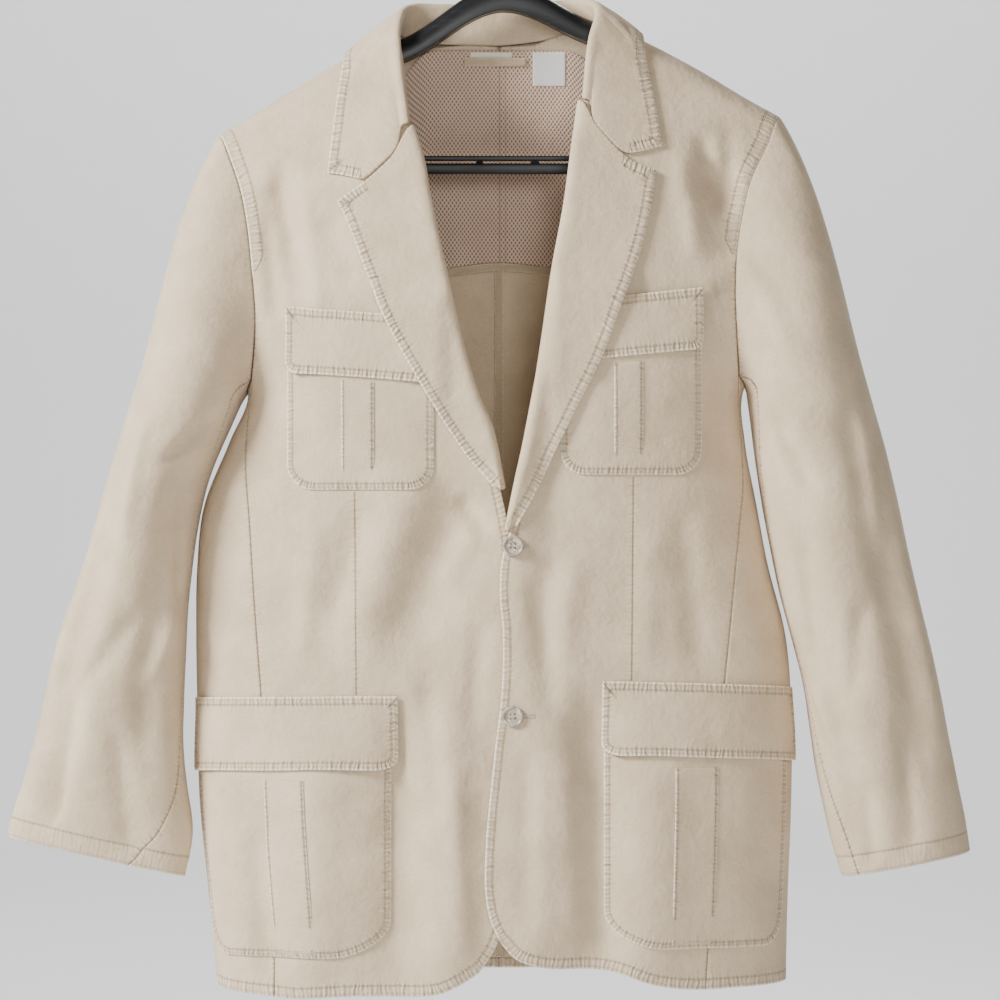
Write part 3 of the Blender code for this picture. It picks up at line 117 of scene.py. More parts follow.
# Columns: x, height of the shoulder line
SHOULDER = (
    (-264, -212), (-239, -197.4), (-201, -174), (-167, -153), (-129, -131), (-86, -113),
    (-45, -103), (0, -98), (45, -94), (86, -99), (121, -115), (169, -140.3),
    (211, -165.5), (239, -181), (264, -196),
)

# Large soft folds. Columns: side (-1 front, 1 back), start x, z, end x, z, width, depth
FOLDS = (
    (-1, -24, -480, -83, -625, 30, -5.0),
    (-1, -62, -470, -118, -640, 26, 3.0),
    (-1, -79, -660, -83, -900, 22, -4.5),
    (-1, -48, -650, -40, -900, 24, 3.5),
    (-1, -150, -700, -158, -915, 26, 3.0),
    (-1, 76, -640, 84, -900, 22, -4.0),
    (-1, 46, -620, 40, -890, 22, 3.5),
    (-1, 132, -700, 124, -905, 30, 3.0),
    (-1, -190, -230, -160, -330, 22, -3.0),
    (-1, 178, -215, 196, -300, 20, -3.0),
    (1, -120, -380, -70, -760, 40, -5.0),
    (1, -60, -560, -66, -900, 30, 4.0),
    (1, 96, -360, 76, -740, 42, -5.5),
    (1, 40, -600, 48, -900, 26, 3.5),
    (1, 150, -620, 140, -900, 30, -4.0),
    (1, -165, -640, -150, -905, 28, -3.5),
)

# Outlines as x, z on the cloth, from the neck down
FRONT_EDGE = {
    -1: ((-86, -113), (-80.6, -136), (-73.9, -193), (-64.7, -224), (-59.6, -254), (-47, -312),
         (-34.4, -367), (-20, -417), (-7.6, -447), (2.5, -497), (6.7, -516), (13.4, -556),
         (15, -690), (12.6, -808), (5.9, -858), (-3.4, -882), (-16, -900)),
    1: ((86, -99), (75, -120), (69, -171), (63.8, -207), (56.3, -262), (47, -312),
        (34.4, -396), (23.5, -455), (16, -489), (7.6, -531), (0.8, -556), (-0.8, -585),
        (1.7, -615), (0.8, -665), (-5, -716), (-12.6, -800), (-12.6, -833), (-7.6, -858),
        (0.8, -875)),
}
ARMHOLE = {
    -1: ((-239, -197.4), (-226, -220), (-217.6, -245), (-211.7, -275), (-207.5, -312),
         (-204.5, -350), (-205.5, -376), (-209, -405)),
    1: ((239, -181), (227.6, -203), (211.7, -237), (203.3, -272), (199, -304),
        (198.2, -338), (199.5, -367), (202, -401)),
}
SIDE_SEAM = {
    -1: ((-209, -405), (-212, -440), (-213, -472), (-209, -522), (-205.8, -573), (-202.4, -623),
         (-199, -665), (-188, -890), (-188, -917)),
    1: ((202, -401), (204, -440), (205.8, -491), (202.4, -524), (198.2, -567), (194, -610),
        (189, -659), (174.7, -881), (173, -913)),
}
HEM = ((-238, -910.6), (-213.4, -919.8), (-167, -922.3), (-83, -919), (-49.6, -917.3),
       (-32.8, -910.6), (-16, -900), (0.8, -875), (13.4, -888), (38.6, -895.4), (76.4, -896.3),
       (101.6, -900.5), (131, -910.6), (168.8, -914.8), (202.4, -913), (227.6, -902),
       (243.6, -894.6))
# Back seams. Columns: height, share of the half width
BACK_SEAM = ((-380, 0.955), (-405, 0.95), (-470, 0.93), (-560, 0.88), (-700, 0.85), (-925, 0.84))
BACK_HEM = -909.0
NECK_BACK = (0, -118)  # centre back of the neck seam
# The neck seam between the shoulder and its centre, as x, z
NECK_CURVE = {-1: ((62, -120), (30, -117)), 1: ((62, -106), (30, -117))}
CENTRE_TOP = -200  # the centre back seam is straight from here down
UNDERARM_DIP = 9.0  # the side panel's top sags this far under the arm

# Collar, right to left. Columns: neck x, z, side; roll line x, y, z
COLLAR_ROLL = (
    (-73.9, -191.5, -1, -76.0, None, -191.5),
    (-80.0, -137, -1, -82.5, -37, -134),
    (-84.5, -114, -1, -81.5, -15, -101),
    (-76.0, -114.5, 1, -73.0, 8, -85),
    (-48.0, -117, 1, -48.0, 19, -83),
    (0.0, -117.5, 1, 0.0, 26, -82),
    (48.0, -112, 1, 48.0, 19, -80.5),
    (76.0, -103, 1, 73.0, 7, -81),
    (84.5, -100, -1, 80.0, -17, -94),
    (74.5, -121, -1, 74.5, -38, -121),
    (69.0, -170.5, -1, 71.0, None, -170.5),
)
# Columns: x, z, side of the collar's outer edge at the same stations
COLLAR_EDGE = (
    (-143.6, -233, -1),
    (-139, -194, -1),
    (-133, -150, -1),
    (-118, -139, 1),
    (-72, -146, 1),
    (0, -141, 1),
    (72, -138, 1),
    (112, -125, 1),
    (124, -136, -1),
    (131, -172, -1),
    (137, -210, -1),
)
COLLAR_CREST = (3.3, 2.0)  # the crest lies this far outward of the roll line and above it
COLLAR_LANDING = (6.8, 0.4)  # the fall starts this far outward of it and below it
COLLAR_BULGE = 1.6  # the fall rounds out by this much
SHOULDER_EASE = 2.0  # the collar's edge stands off where it passes over the shoulder
NECK_EASE = 1.0  # the collar's neck seam stands this far off the cloth
COLLAR_ROWS = (3, 3, 7, 3, 2, 2, 3, 7, 3, 3)  # rows between its stations
GORGE = {
    -1: ((-73.9, -193), (-87.4, -218), (-111.7, -240)),
    1: ((69, -172), (78, -190.7), (93.2, -207.5), (104.2, -218)),
}
COLLAR_NOTCH = {-1: ((-129.4, -235.2), (-143.6, -233)), 1: ((118.4, -215.5), (137, -210))}
LAPEL_NOTCH = {-1: ((-129.4, -252), (-135.2, -257)), 1: ((110, -222.6), (131, -231))}
LAPEL_EDGE = {
    -1: ((-135.2, -257), (-129.4, -266.3), (-119.3, -291.5), (-95.8, -352.8), (-74.8, -392.3),
         (-49.6, -434.3), (-24.4, -472), (-3.5, -494)),
    1: ((131, -231), (128.5, -249.5), (118.4, -295.7), (103.3, -337.7), (84.8, -388),
        (63.8, -430), (51.2, -455.3), (28, -502), (14.5, -527)),
}
ROLL_ROWS = slice(2, 10)  # the rows of a front's edge along which its lapel turns
# The lapel's fold, in order round it. Columns: distance outward, height over the cloth
LAPEL_FOLD = ((9, -4.7), (1, -4.7), (-3.0, -3.1), (-4.1, 0.4), (-2.6, 3.8), (2.5, 5.4))
LAPEL_REST = DOUBLE + LAY
NOTCH_GAP = 0.15  # the lapel stops this far below the collar

# Pockets. Columns: x of outer edge, x of inner edge, top, bottom of pocket, bottom of flap
CHEST_POCKET = {
    -1: (-177, -54, -344, -497.5, -398),
    1: (169.5, 51, -328, -485, -378.5),
}
CHEST_SLANT = {-1: -10.0, 1: -13.0}  # the flap's inner end hangs lower
CHEST_STRIP = {-1: (-131, -103.5, -402.5, -497), 1: (120, 95.8, -386.5, -485)}
CHEST_CORNER = 22.0
# Columns: x of inner edge, pocket's and flap's outer edge as a share of the half width, top,
# bottom, flap end, and how much lower the outer ends of the flap hang
LOWER_POCKET = {
    -1: (-90, 0.988, 0.992, -669, -888, -730, -3.0),
    1: (87.5, 0.972, 0.992, -656.5, -880, -718, -7.0),
}
LOWER_FLAP_EDGE = {-1: -84, 1: 86}
LOWER_STRIP = {-1: (-191, -158, -737, -887), 1: (181, 145, -726, -879)}
LOWER_CORNER = 34.0
FLAP_CORNER = 9.0
UNDER_FLAP = 7.0  # a pocket's mouth lies this far under the top of its flap
BUMP_EDGE = 18.0  # the lapel settles this far beyond a pocket that it crosses

# Sleeve stations down the arm. Columns: outer x, z, inner x, z, half depth, middle y
SLEEVE = {
    -1: ((-305.8, -405, -220.5, -428.4, 70, -6),
         (-326.8, -472, -248, -495.6, 68, -8),
         (-347.8, -547.7, -260.6, -573, 62, -12),
         (-373, -623.3, -265.6, -655.2, 51, -16),
         (-387.2, -686.3, -265.6, -721.6, 41, -20),
         (-405.7, -757.7, -258.5, -787, 27, -22),
         (-415, -789.6, -264.6, -823.2, 18, -23)),
    1: ((308.3, -396.5, 210.5, -420, 68, -6),
        (328.4, -468, 220.5, -494, 65, -8),
        (346.9, -552, 236, -579, 60, -12),
        (365.4, -631.7, 256.5, -658.6, 54, -16),
        (378.8, -699, 266, -726.6, 48, -20),
        (391.4, -766, 280.6, -793, 42, -22),
        (397.3, -801.4, 289, -822.4, 38, -23)),
}
SLEEVE_SQUARENESS = 2.25
CAP_SHARE = 0.36  # share of the sleeve's rows that lie in its cap
CAP_REACH = 0.85  # how far the cap keeps its first direction
SLEEVE_GAP = 0.1  # the sleeve starts this far off the armhole
# Turn of each sleeve seam, in degrees, 0 at the outer edge and 90 in front
FRONT_SEAM_TURN = {-1: (150, 165, 172, 172, 160, 128, 109), 1: (150, 165, 172, 168, 155, 142, 137)}
BACK_SEAM_TURN = (228, 236, 242, 246, 248, 250, 252)
UNDERARM_FROM = 150.0  # turns between which the sleeve meets the side panel
UNDERARM_TO = 210.0
# Lengthwise sleeve folds. Columns: turn, first station, last station, width in degrees, depth
SLEEVE_FOLDS = {
    -1: ((118, 0.3, 4.6, 15, -6.0), (78, 0.8, 5.2, 16, 3.0), (52, 2.2, 5.8, 13, -3.0),
         (300, 0.5, 4.5, 18, -5.0)),
    1: ((62, 0.2, 4.8, 15, -5.5), (98, 1.0, 5.4, 16, 3.0), (128, 2.4, 5.6, 13, -3.0),
        (305, 0.6, 4.4, 18, -5.0)),
}

# Buttons. Holes as x, y, and the rim's section as shares of radius and thickness
BUTTON_X = 11.8
BUTTON_HEIGHTS = (-544.0, -685.5)
BUTTON_RADIUS = 8.9
BUTTON_THICK = 3.2
BUTTON_HOLE = 0.85  # radius of a hole
BUTTON_HOLES = ((-1.75, -1.75), (1.75, -1.75), (-1.75, 1.75), (1.75, 1.75))
BUTTON_WELL = 0.70  # share of the radius inside the rim
BUTTON_DISH = 0.62  # share of the thickness there
BUTTON_STAND = 0.6  # clear space between a button and the cloth
BUTTON_RIM = ((0.66, 0.02), (0.90, 0.04), (0.985, 0.26), (1.0, 0.55), (0.965, 0.84), (0.88, 1.0),
              (0.79, 0.97), (0.72, 0.78), (0.66, 0.60))
BUTTONHOLES = ((16.0, 24.0), (19.5, 29.5))  # where each slit shows beside its button, in x
SLIT_HALF = 2.0  # half of the height of a slit's end bars
SLIT_ROW = 1.15  # rows of thread this far above and below a slit
SLIT_THREAD = {"pitch": 0.55, "width": 0.5, "turn": 1.0}
STRAND_HALF = 1.8  # each strand of a button's thread reaches this far from the middle
STRAND_SHIFT = 0.28  # two strands lie beside each other in a pair of holes
STRAND_THREAD = {"pitch": 3.59, "length": 3.9, "width": 0.55}

# Inside of the back
LINING_GAP = 1.2  # clear space between the back and its lining
LINING_WALL = 1.0
LINING_HALF = 128.0
LINING_SHOULDER_DROP = 46.0
LINING_END = -309.0  # height of the bound edge beside its arch
LINING_ARCH = 8.0
BINDING_WIDTH = 7.0
BACK_BINDING = (7.5, -306, -900)  # width of the bound centre seam, its top and bottom
NECK_LABEL = (-24.5, 11.0, -127.5, -118.8)
CARE_LABEL = (29, 57, -150, -121)
LOOP_WIDTH = 7.0
LOOP_ENDS = (-30, 23)  # x of its two ends
LOOP_DROP = 8.5  # below the neck seam
LOOP_GAP = 1.9
LABEL_GAP = 0.5
LABEL_DROP = 4.0  # a label's top stays this far below the neck seam
NECK_BELOW = 0.6
NECK_GAP = 3.0  # the lining starts this far below the neck seam
TAPE_WALL = 1.2
TAPE_GAP = 0.6

# Hanger
HANGER_REACH = 214.0  # half of its length
ARCH_RISE = 33.0  # the arch stands this far above the shoulder line's middle
ARCH_HALF = 88.0
SLOPE_ROOM = 1.2  # a wall takes more height where the shoulder slopes
HANGER_DEPTH = 15.0
ARCH_DEPTH = 9.5
HANGER_TURN = math.radians(70)  # the upper face rounds down this far to each side
HANGER_THICK = 18.0
ARCH_THICK = 23.0
ARCH_FLAT = 20.0  # the arch keeps its thickness this far from the middle,
ARCH_RUN = 90.0  # and thins to the shoulders' over this length
TIP_RUN = 26.0  # the shoulders' last length, which narrows
BAR_TOP = -220.0
BAR_BOTTOM = -229.0
BAR_HALF_DEPTH = 4.6
BAR_REACH = 196.0  # x of the bar's upturned ends
BAR_BEND = 9.0
RAIL_INSET = 1.4
SPACER_INSET = 1.8
RAIL_TOP = -213.6
RAIL_BOTTOM = -217.8
SPACERS = ((-16.5, 6.0), (30.5, 7.5))
HOOK_RADIUS = 23.4  # middle of the wire
HOOK_WIRE = 3.4
HOOK_SHANK = ((0, 0), (0.2, 5), (2.5, 11), (8, 16))  # its x and height over the foot
HOOK_TURN = (-52, 212)  # degrees round the rod at which the ring starts and ends
HOOK_TIP = (0.97, 0.85, 0.5)  # the wire's last points narrow to these shares
CLEAR = 0.3

BACKS = ("back_right", "back_left")  # each is one cloth over several solids

# How the sewn-on layers lie, closer than the solids that stand for them
PATCH_GAP = 0.3
POCKET_SWELL = 1.3
FLAP_CURL = 1.3
EDGE_CURL = 0.9
EDGE_PINCH = 0.26  # share of its thickness by which a cloth's edge rounds off
PINCH_REACH = 1.3  # width of that rounding
HEM_WAVE = 0.35  # a hem waves in and out by this much
CUFF_WAVE = 0.3
SHEET_LEAST = 0.0105  # a sheet's sides are stated as at least this, in metres
STRIP_LIFT = PATCH_GAP + POCKET_WALL + 0.75
FOLD_SHARE = 0.30  # share of a lapel's cells that lie in its fold
FIRST_FALL = 4 / 7  # share of the collar's cells above which its fall begins
LOWER_PATCH_WIDTH = 150.0

# Stage. The camera looks at the photograph's middle
CAMERA_X = 0.84
CAMERA_Z = -505.7
FRONT_PLANE = -40.0
# Floor and backdrop in metres
SWEEP_WIDTH = 16.0
SWEEP_RUN = 17.0  # length from the front of the floor to the top of the backdrop
SWEEP_FLAT = 11.0  # length of the floor before it turns up
SWEEP_FRONT = 5.0  # the floor starts this far in front of the rod
SWEEP_BEND = 1.2  # radius of the turn
# Lights in metres. Columns: name, place, target, size, setting of its power, share of that
LIGHTS = (
    ("key", (-2.6, -1.4, 1.0), (0, 0, -0.5), 0.9, "key", 1.0),
    ("fill", (0.5, -3.5, 0.2), (0, 0, -0.5), 1.0, "fill", 1.0),
    ("rim", (0.9, 2.4, 1.3), (0, 0, -0.5), 1.2, "fill", 1.0),
    ("wash", (0, 3.4, 3.4), (0, 7.2, -0.4), 3.0, "key", 1.3),
)
WORLD_COLOUR = (1.0, 0.9, 0.78, 1)
WORLD_STRENGTH = 0.20

FOLD_STRENGTH = 2.1  # the folds are this much deeper here than in the solids
CREASE_STRENGTH = 2.4
# Creases that only the scene has. Columns as in FOLDS
CREASES = (
    (-1, -34, -500, -12, -533, 7, -1.8),
    (-1, -16, -520, -44, -575, 9, 1.4),
    (-1, -186, -214, -172, -305, 11, -2.2),
    (-1, -168, -236, -150, -345, 9, 1.5),
    (-1, -196, -262, -186, -352, 7, -1.4),
    (-1, -146, -262, -122, -322, 10, -1.3),
    (-1, -112, -505, -136, -600, 12, -1.6),
    (-1, -152, -515, -166, -640, 11, 1.3),
    (-1, -60, -640, -52, -760, 9, -1.5),
    (-1, -38, -720, -30, -880, 10, 1.4),
    (-1, -204, -770, -190, -905, 12, -2.2),
    (-1, -14, -600, -22, -690, 9, -1.2),
    (-1, 30, -560, 44, -680, 11, -1.5),
    (-1, 62, -545, 52, -640, 12, 1.4),
    (-1, 24, -700, 22, -860, 10, -1.6),
    (-1, 58, -700, 66, -870, 12, 1.7),
    (-1, 150, -500, 168, -640, 12, -1.4),
    (-1, 128, -520, 120, -640, 13, 1.2),
    (-1, 196, -168, 192, -262, 9, -2.0),
    (-1, 168, -190, 188, -262, 8, -1.9),
    (-1, 178, -332, 199, -329, 5, -1.2),
    (-1, 150, -205, 166, -300, 10, 1.3),
    (-1, 182, -380, 192, -480, 9, -1.4),
    (1, -30, -250, -58, -420, 14, -1.8),
    (1, 24, -300, 50, -470, 13, -1.6),
    (1, -150, -330, -110, -470, 12, -2.0),
    (1, 146, -310, 118, -450, 11, -1.9),
    (1, -96, -520, -82, -690, 13, 1.8),
    (1, 72, -500, 92, -660, 12, 1.7),
    (1, -20, -640, -36, -880, 14, -2.2),
    (1, 18, -560, 30, -800, 13, -1.9),
    (1, 120, -700, 112, -900, 12, -1.8),
    (1, -128, -720, -120, -900, 13, -2.0),
)
# Sleeve creases. Columns: turn and station at both ends, width in degrees, depth
SLEEVE_CREASES = {
    -1: ((140, 0.0, 96, 0.9, 9, -2.6), (60, 0.2, 74, 1.8, 9, 1.8), (128, 0.9, 150, 2.3, 8, -2.2),
         (104, 2.3, 70, 3.4, 8, -1.7), (150, 2.2, 118, 3.2, 9, 1.9), (92, 3.6, 112, 5.6, 9, -1.8),
         (40, 1.0, 34, 3.8, 10, 1.6), (64, 3.2, 54, 5.4, 8, -1.5), (210, 0.4, 262, 1.6, 12, -2.4),
         (250, 2.1, 290, 3.0, 10, -2.2), (330, 0.8, 318, 3.6, 12, 1.8),
         (276, 3.6, 264, 5.6, 10, -1.8)),
    1: ((132, 0.1, 104, 1.2, 9, -2.4), (48, 0.2, 60, 1.9, 9, 1.7), (118, 1.4, 140, 2.9, 8, -2.0),
        (84, 2.2, 108, 3.3, 8, -1.8), (150, 2.9, 126, 4.0, 9, 1.8), (72, 3.4, 88, 5.7, 9, -1.7),
        (34, 1.2, 38, 4.2, 10, 1.6), (110, 4.2, 122, 5.8, 8, -1.6), (214, 0.3, 258, 1.5, 12, -2.3),
        (246, 2.4, 286, 3.4, 10, -2.1), (326, 1.0, 314, 3.9, 12, 1.7),
        (280, 3.8, 270, 5.7, 10, -1.7)),
}
CELL = 4.0  # side of a cloth cell
EDGE_LINES = (1.1, 2.8)  # extra lines of cells beside each border


def evenly(distance, pucker):
    """A sewn border that is the same all along."""
    return ((0.0, distance, pucker), (1.0, distance, pucker))


# Sewn borders. Columns: share along the border, distance of its stitching, pucker strength
PLAIN = evenly(0.0, 0.35)
FRONT_EDGE_SEWN = ((0.0, 0.0, 0.0), (0.44, 0.0, 0.0), (0.47, 6.6, 0.6), (1.0, 6.6, 0.8))
HEM_SEWN = evenly(8.6, 0.8)
ARM_SEWN = ((0.0, 10.5, 0.8), (0.17, 10.5, 0.8), (0.19, 0.0, 0.4), (1.0, 0.0, 0.35))
BACK_ARM_SEWN = ((0.0, 10.5, 0.7), (0.27, 10.5, 0.6), (0.30, 0.0, 0.35), (1.0, 0.0, 0.35))
SHOULDER_SEWN = evenly(0.0, 0.3)
COLLAR_SEWN = evenly(7.8, 1.2)
LAPEL_SEWN = ((0.0, 7.4, 1.2), (1.0, 6.6, 0.8))
LAPEL_TOP_SEWN = ((0.0, 0.0, 0.3), (0.72, 0.0, 0.3), (0.74, 7.4, 1.1), (1.0, 7.4, 1.1))
COLLAR_END_SEWN = ((0.0, 0.0, 0.3), (0.70, 0.0, 0.3), (0.72, 7.8, 1.1), (1.0, 7.8, 1.1))
POCKET_SEWN = evenly(5.2, 0.8)
FLAP_SEWN = evenly(5.6, 0.9)
FLAP_TOP_SEWN = evenly(6.6, 0.7)
FLAP_BORDERS = {"u0": FLAP_SEWN, "u1": FLAP_SEWN, "v0": FLAP_TOP_SEWN, "v1": FLAP_SEWN}
TAPE_SEWN = evenly(1.4, 0.1)
STRIP_SEWN = evenly(1.7, 0.7)
POCKET_BORDERS = {"u0": POCKET_SEWN, "u1": POCKET_SEWN, "v1": POCKET_SEWN}
STRIP_BORDERS = {"u0": STRIP_SEWN, "u1": STRIP_SEWN}
CUFF_SEWN = evenly(17.0, 0.25)
SLEEVE_SEAM_SEWN = evenly(0.0, 0.55)
# Dart from the chest pocket to the lower pocket. Columns: x and height at both ends
DARTS = {-1: (-120, -500, -118.5, -668), 1: (112.5, -487, 111, -656)}


def smooth(t):
    """Soft step from 0 to 1."""
    t = np.clip(t, 0.0, 1.0)
    return t * t * (3.0 - 2.0 * t)


def unit(vectors):
    """Each vector at length 1."""
    return vectors / np.maximum(np.linalg.norm(vectors, axis=-1, keepdims=True), 1e-9)


def run_of(points):
    """Length along a line of points, from its start to each of them."""
    return np.concatenate([[0.0], np.cumsum(np.linalg.norm(np.diff(points, axis=0), axis=1))])


def interpolate(knots, rows, at, soft=True):
    """Values of a table at any place between its rows, as a smooth or a straight line."""
    knots = np.asarray(knots, float)
    rows = np.asarray(rows, float)
    at = np.clip(np.asarray(at, float), knots[0], knots[-1])
    if not soft or len(knots) < 3:
        return np.stack([np.interp(at, knots, rows[:, k]) for k in range(rows.shape[1])], -1)
    slopes = np.diff(rows, axis=0) / np.diff(knots)[:, None]
    tangents = np.vstack([slopes[:1], (slopes[1:] + slopes[:-1]) / 2, slopes[-1:]])
    k = np.clip(np.searchsorted(knots, at, side="right") - 1, 0, len(knots) - 2)
    step = np.diff(knots)[k]
    t = ((at - knots[k]) / step)[..., None]
    step = step[..., None]
    start = rows[k] * (2 * t ** 3 - 3 * t ** 2 + 1) + tangents[k] * step * (t ** 3 - 2 * t ** 2 + t)
    end = rows[k + 1] * (3 * t ** 2 - 2 * t ** 3) + tangents[k + 1] * step * (t ** 3 - t ** 2)
    return start + end


def route(points, share, soft=True):
    """Point at a share of the length of a line through the points."""
    points = np.asarray(points, float)
    run = run_of(points)
    return interpolate(run / run[-1], points, share, soft)


def column(table, k, at):
    """One column of a table whose first column falls from row to row."""
    table = np.asarray(table, float)
    return interpolate(-table[:, 0], table[:, k:k + 1], -np.asarray(at, float))[..., 0]


def shoulder(x):
    """Height of the shoulder line."""
    table = np.asarray(SHOULDER, float)
    return interpolate(table[:, 0], table[:, 1:], x)[..., 0]


def half_width(z, x):
    """Half width of the torso on the side of x."""
    return np.where(np.asarray(x) < 0, column(TORSO, 1, z), column(TORSO, 2, z))


def depth(z, front):
    """Depth of the torso in front or behind."""
    return np.where(front, column(TORSO, 3, z), column(TORSO, 4, z))


def fold_height(x, z, front):
    """How far the large folds stand out or sink in."""
    total = np.zeros(np.broadcast(x, z).shape)
    rows = [(*row, FOLD_STRENGTH) for row in FOLDS] + [(*row, CREASE_STRENGTH) for row in CREASES]
    for side, x0, z0, x1, z1, width, height, strength in rows:
        run = np.array([x1 - x0, z1 - z0], float)
        length = np.hypot(*run)
        along = ((x - x0) * run[0] + (z - z0) * run[1]) / length ** 2
        across = ((x - x0) * run[1] - (z - z0) * run[0]) / length
        ends = smooth(along / 0.25) * smooth((1.15 - along) / 0.3)
        wave = strength * height * np.exp(-(across / width) ** 2) * ends
        total = total + np.where(front == (side < 0), wave, 0.0)
    return total + unevenness(x, z)


def edge_lift(x, z, front):
    """The left front stands clear of the right one where they overlap."""
    near = smooth((46.0 - x) / 30.0) * smooth((-380 - z) / 60.0)
    return np.where(front, OVERLAP_LIFT * near, 0.0)


def skin(x, wrap, lifted=False):
    """Point of the cloth's outer face. Wrap runs down the front from the shoulder line
    where it is positive, and down the back where it is negative."""
    x, wrap = np.broadcast_arrays(np.asarray(x, float), np.asarray(wrap, float))
    front = wrap >= 0
    run = np.abs(wrap)
    turn = np.minimum(run / ROLL, math.pi / 2)
    drop = ROLL * (1 - np.cos(turn)) + np.maximum(run - ROLL * math.pi / 2, 0)
    z = shoulder(x) - drop
    share = np.clip(np.abs(x) / half_width(z, x), 0, 0.9999)
    full = depth(z, front) * (1 - share ** SQUARENESS) ** (1 / SQUARENESS)
    ramp = 1 - (1 - np.clip(drop / FILL_DROP, 0, 1)) ** 2
    y = ROLL * np.sin(turn) + (full - ROLL) * ramp
    y = y + fold_height(x, z, front) * smooth((drop - 20) / 60)
    if lifted:
        y = y + edge_lift(x, z, front)
    return np.stack([x, np.where(front, -y, y), z], -1)


def wrap_of(x, z, side=-1):
    """Wrap of a point from its height. Side is -1 in front and 1 behind."""
    drop = np.maximum(shoulder(x) - np.asarray(z, float), 0)
    bend = ROLL * np.arccos(np.clip(1 - drop / ROLL, 0, 1))
    return -side * np.where(drop < ROLL, bend, drop - ROLL + ROLL * math.pi / 2)


def skin_normal(x, wrap, lifted=False):
    """Outward normal of the cloth, from small steps on it."""
    along_x = skin(x + 0.5, wrap, lifted) - skin(x - 0.5, wrap, lifted)
    along_wrap = skin(x, wrap + 0.5, lifted) - skin(x, wrap - 0.5, lifted)
    return -unit(np.cross(along_x, along_wrap))


def skin_at(plane, lifted=False):
    """Point of the cloth's outer face, from x and wrap in one array."""
    return skin(plane[..., 0], plane[..., 1], lifted)


def normal_at(plane, lifted=False):
    """Outward normal of the cloth, from x and wrap in one array."""
    return skin_normal(plane[..., 0], plane[..., 1], lifted)


def flank(turn, z, side):
    """Point on the cloth round the side. Turn is 90 degrees at the middle of the front,
    0 at the side's edge and negative behind."""
    turn, z = np.broadcast_arrays(np.asarray(turn, float), np.asarray(z, float))
    angle = np.radians(turn)
    front = turn >= 0
    power = 2 / SQUARENESS
    x = side * half_width(z, side) * np.cos(angle) ** power
    y = depth(z, front) * np.abs(np.sin(angle)) ** power
    y = y + fold_height(x, z, front) * smooth(np.abs(turn) / 25)
    return np.stack([x, np.where(front, -y, y), z], -1)


def flank_normal(turn, z, side):
    """Outward normal round the side."""
    along = flank(turn + 0.6, z, side) - flank(turn - 0.6, z, side)
    up = flank(turn, z + 1.0, side) - flank(turn, z - 1.0, side)
    return unit(np.cross(up, along) * side)


def turn_of(x, z):
    """Turn round the side from a point's x and height."""
    share = np.clip(np.abs(x) / half_width(z, x), 0, 0.9999)
    return np.degrees(np.arccos(share ** (SQUARENESS / 2)))


def coons(u, v, left, right, top, bottom):
    """Point inside four border lines, each a function of its share."""
    uu = u[..., None]
    vv = v[..., None]
    start = np.array(0.0)
    end = np.array(1.0)
    sides = (1 - uu) * left(v) + uu * right(v)
    top_bow = top(u) - (1 - uu) * top(start) - uu * top(end)
    bottom_bow = bottom(u) - (1 - uu) * bottom(start) - uu * bottom(end)
    return sides + (1 - vv) * top_bow + vv * bottom_bow


def with_wrap(x, z, side=-1):
    """X and z as x and wrap in one array."""
    return np.stack([x, wrap_of(x, z, side)], -1)


def to_wrap(points, side=-1):
    """A list of x, z as x, wrap."""
    points = np.asarray(points, float)
    return with_wrap(points[:, 0], points[:, 1], side)


def line(points, soft=True):
    """Border line as a function of its share."""
    points = np.asarray(points, float)
    return lambda share: route(points, share, soft)


def hem_between(x0, x1):
    """Hem line's points from one x to another."""
    table = np.asarray(HEM, float)
    inside = [row for row in HEM if min(x0, x1) + 4 < row[0] < max(x0, x1) - 4]
    if x1 < x0:
        inside = inside[::-1]
    ends = [(x, float(np.interp(x, table[:, 0], table[:, 1]))) for x in (x0, x1)]
    return [ends[0], *inside, ends[1]]


def seam_height(share, top, bottom):
    """Height of a seam's rows, closer together under the arm."""
    return top + (bottom - top) * np.clip(share, 0, 1) ** SEAM_SPREAD


def outer_line(arm_run, seam, face, shift):
    """A panel's outer border: its armhole in the first rows and then its side seam."""
    arm = ARM_ROWS / PANEL_ROWS
    seam = np.asarray(seam, float)

    def border(share):
        share = np.asarray(share, float)
        along = np.interp(share * PANEL_ROWS, np.arange(ARM_ROWS + 1), ARM_STEPS[:, 0])
        above = route(arm_run, along)
        z = seam_height((share - arm) / (1 - arm), seam[0, 1], seam[-1, 1])
        x = column(seam[:, ::-1], 1, z)
        below = with_wrap(x, z, face)
        return np.where((share < arm - 1e-6)[..., None], above, below) + np.array([shift, 0.0])

    return border


def inner_line(points, shift, soft):
    """A panel's inner border, whose first rows follow the turn over the shoulder."""
    points = np.asarray(points, float)
    length = np.sum(np.linalg.norm(np.diff(points, axis=0), axis=1))
    rows = [*range(len(SHOULDER_RUNS)), PANEL_ROWS]
    shares = [*(run / length for run in SHOULDER_RUNS), 1.0]

    def border(share):
        along = np.interp(np.asarray(share, float) * PANEL_ROWS, rows, shares)
        return route(points, along, soft) + np.array([shift, 0.0])

    return border


def arm_run(side, face):
    """An armhole as x, wrap from the shoulder down, in front (-1) or behind (1)."""
    run = to_wrap(ARMHOLE[side] if face < 0 else back_armhole(side), face)
    run[0, 1] = -face * SEAM
    return run


def back_seam(side):
    """Seam of the back and the side panel, as x, z, from the armhole to the hem."""
    heights = np.linspace(SIDE_SEAM[side][0][1], BACK_HEM, 9)
    shares = column(BACK_SEAM, 1, heights)
    return [(side * share * float(half_width(z, side)), z) for z, share in zip(heights, shares)]


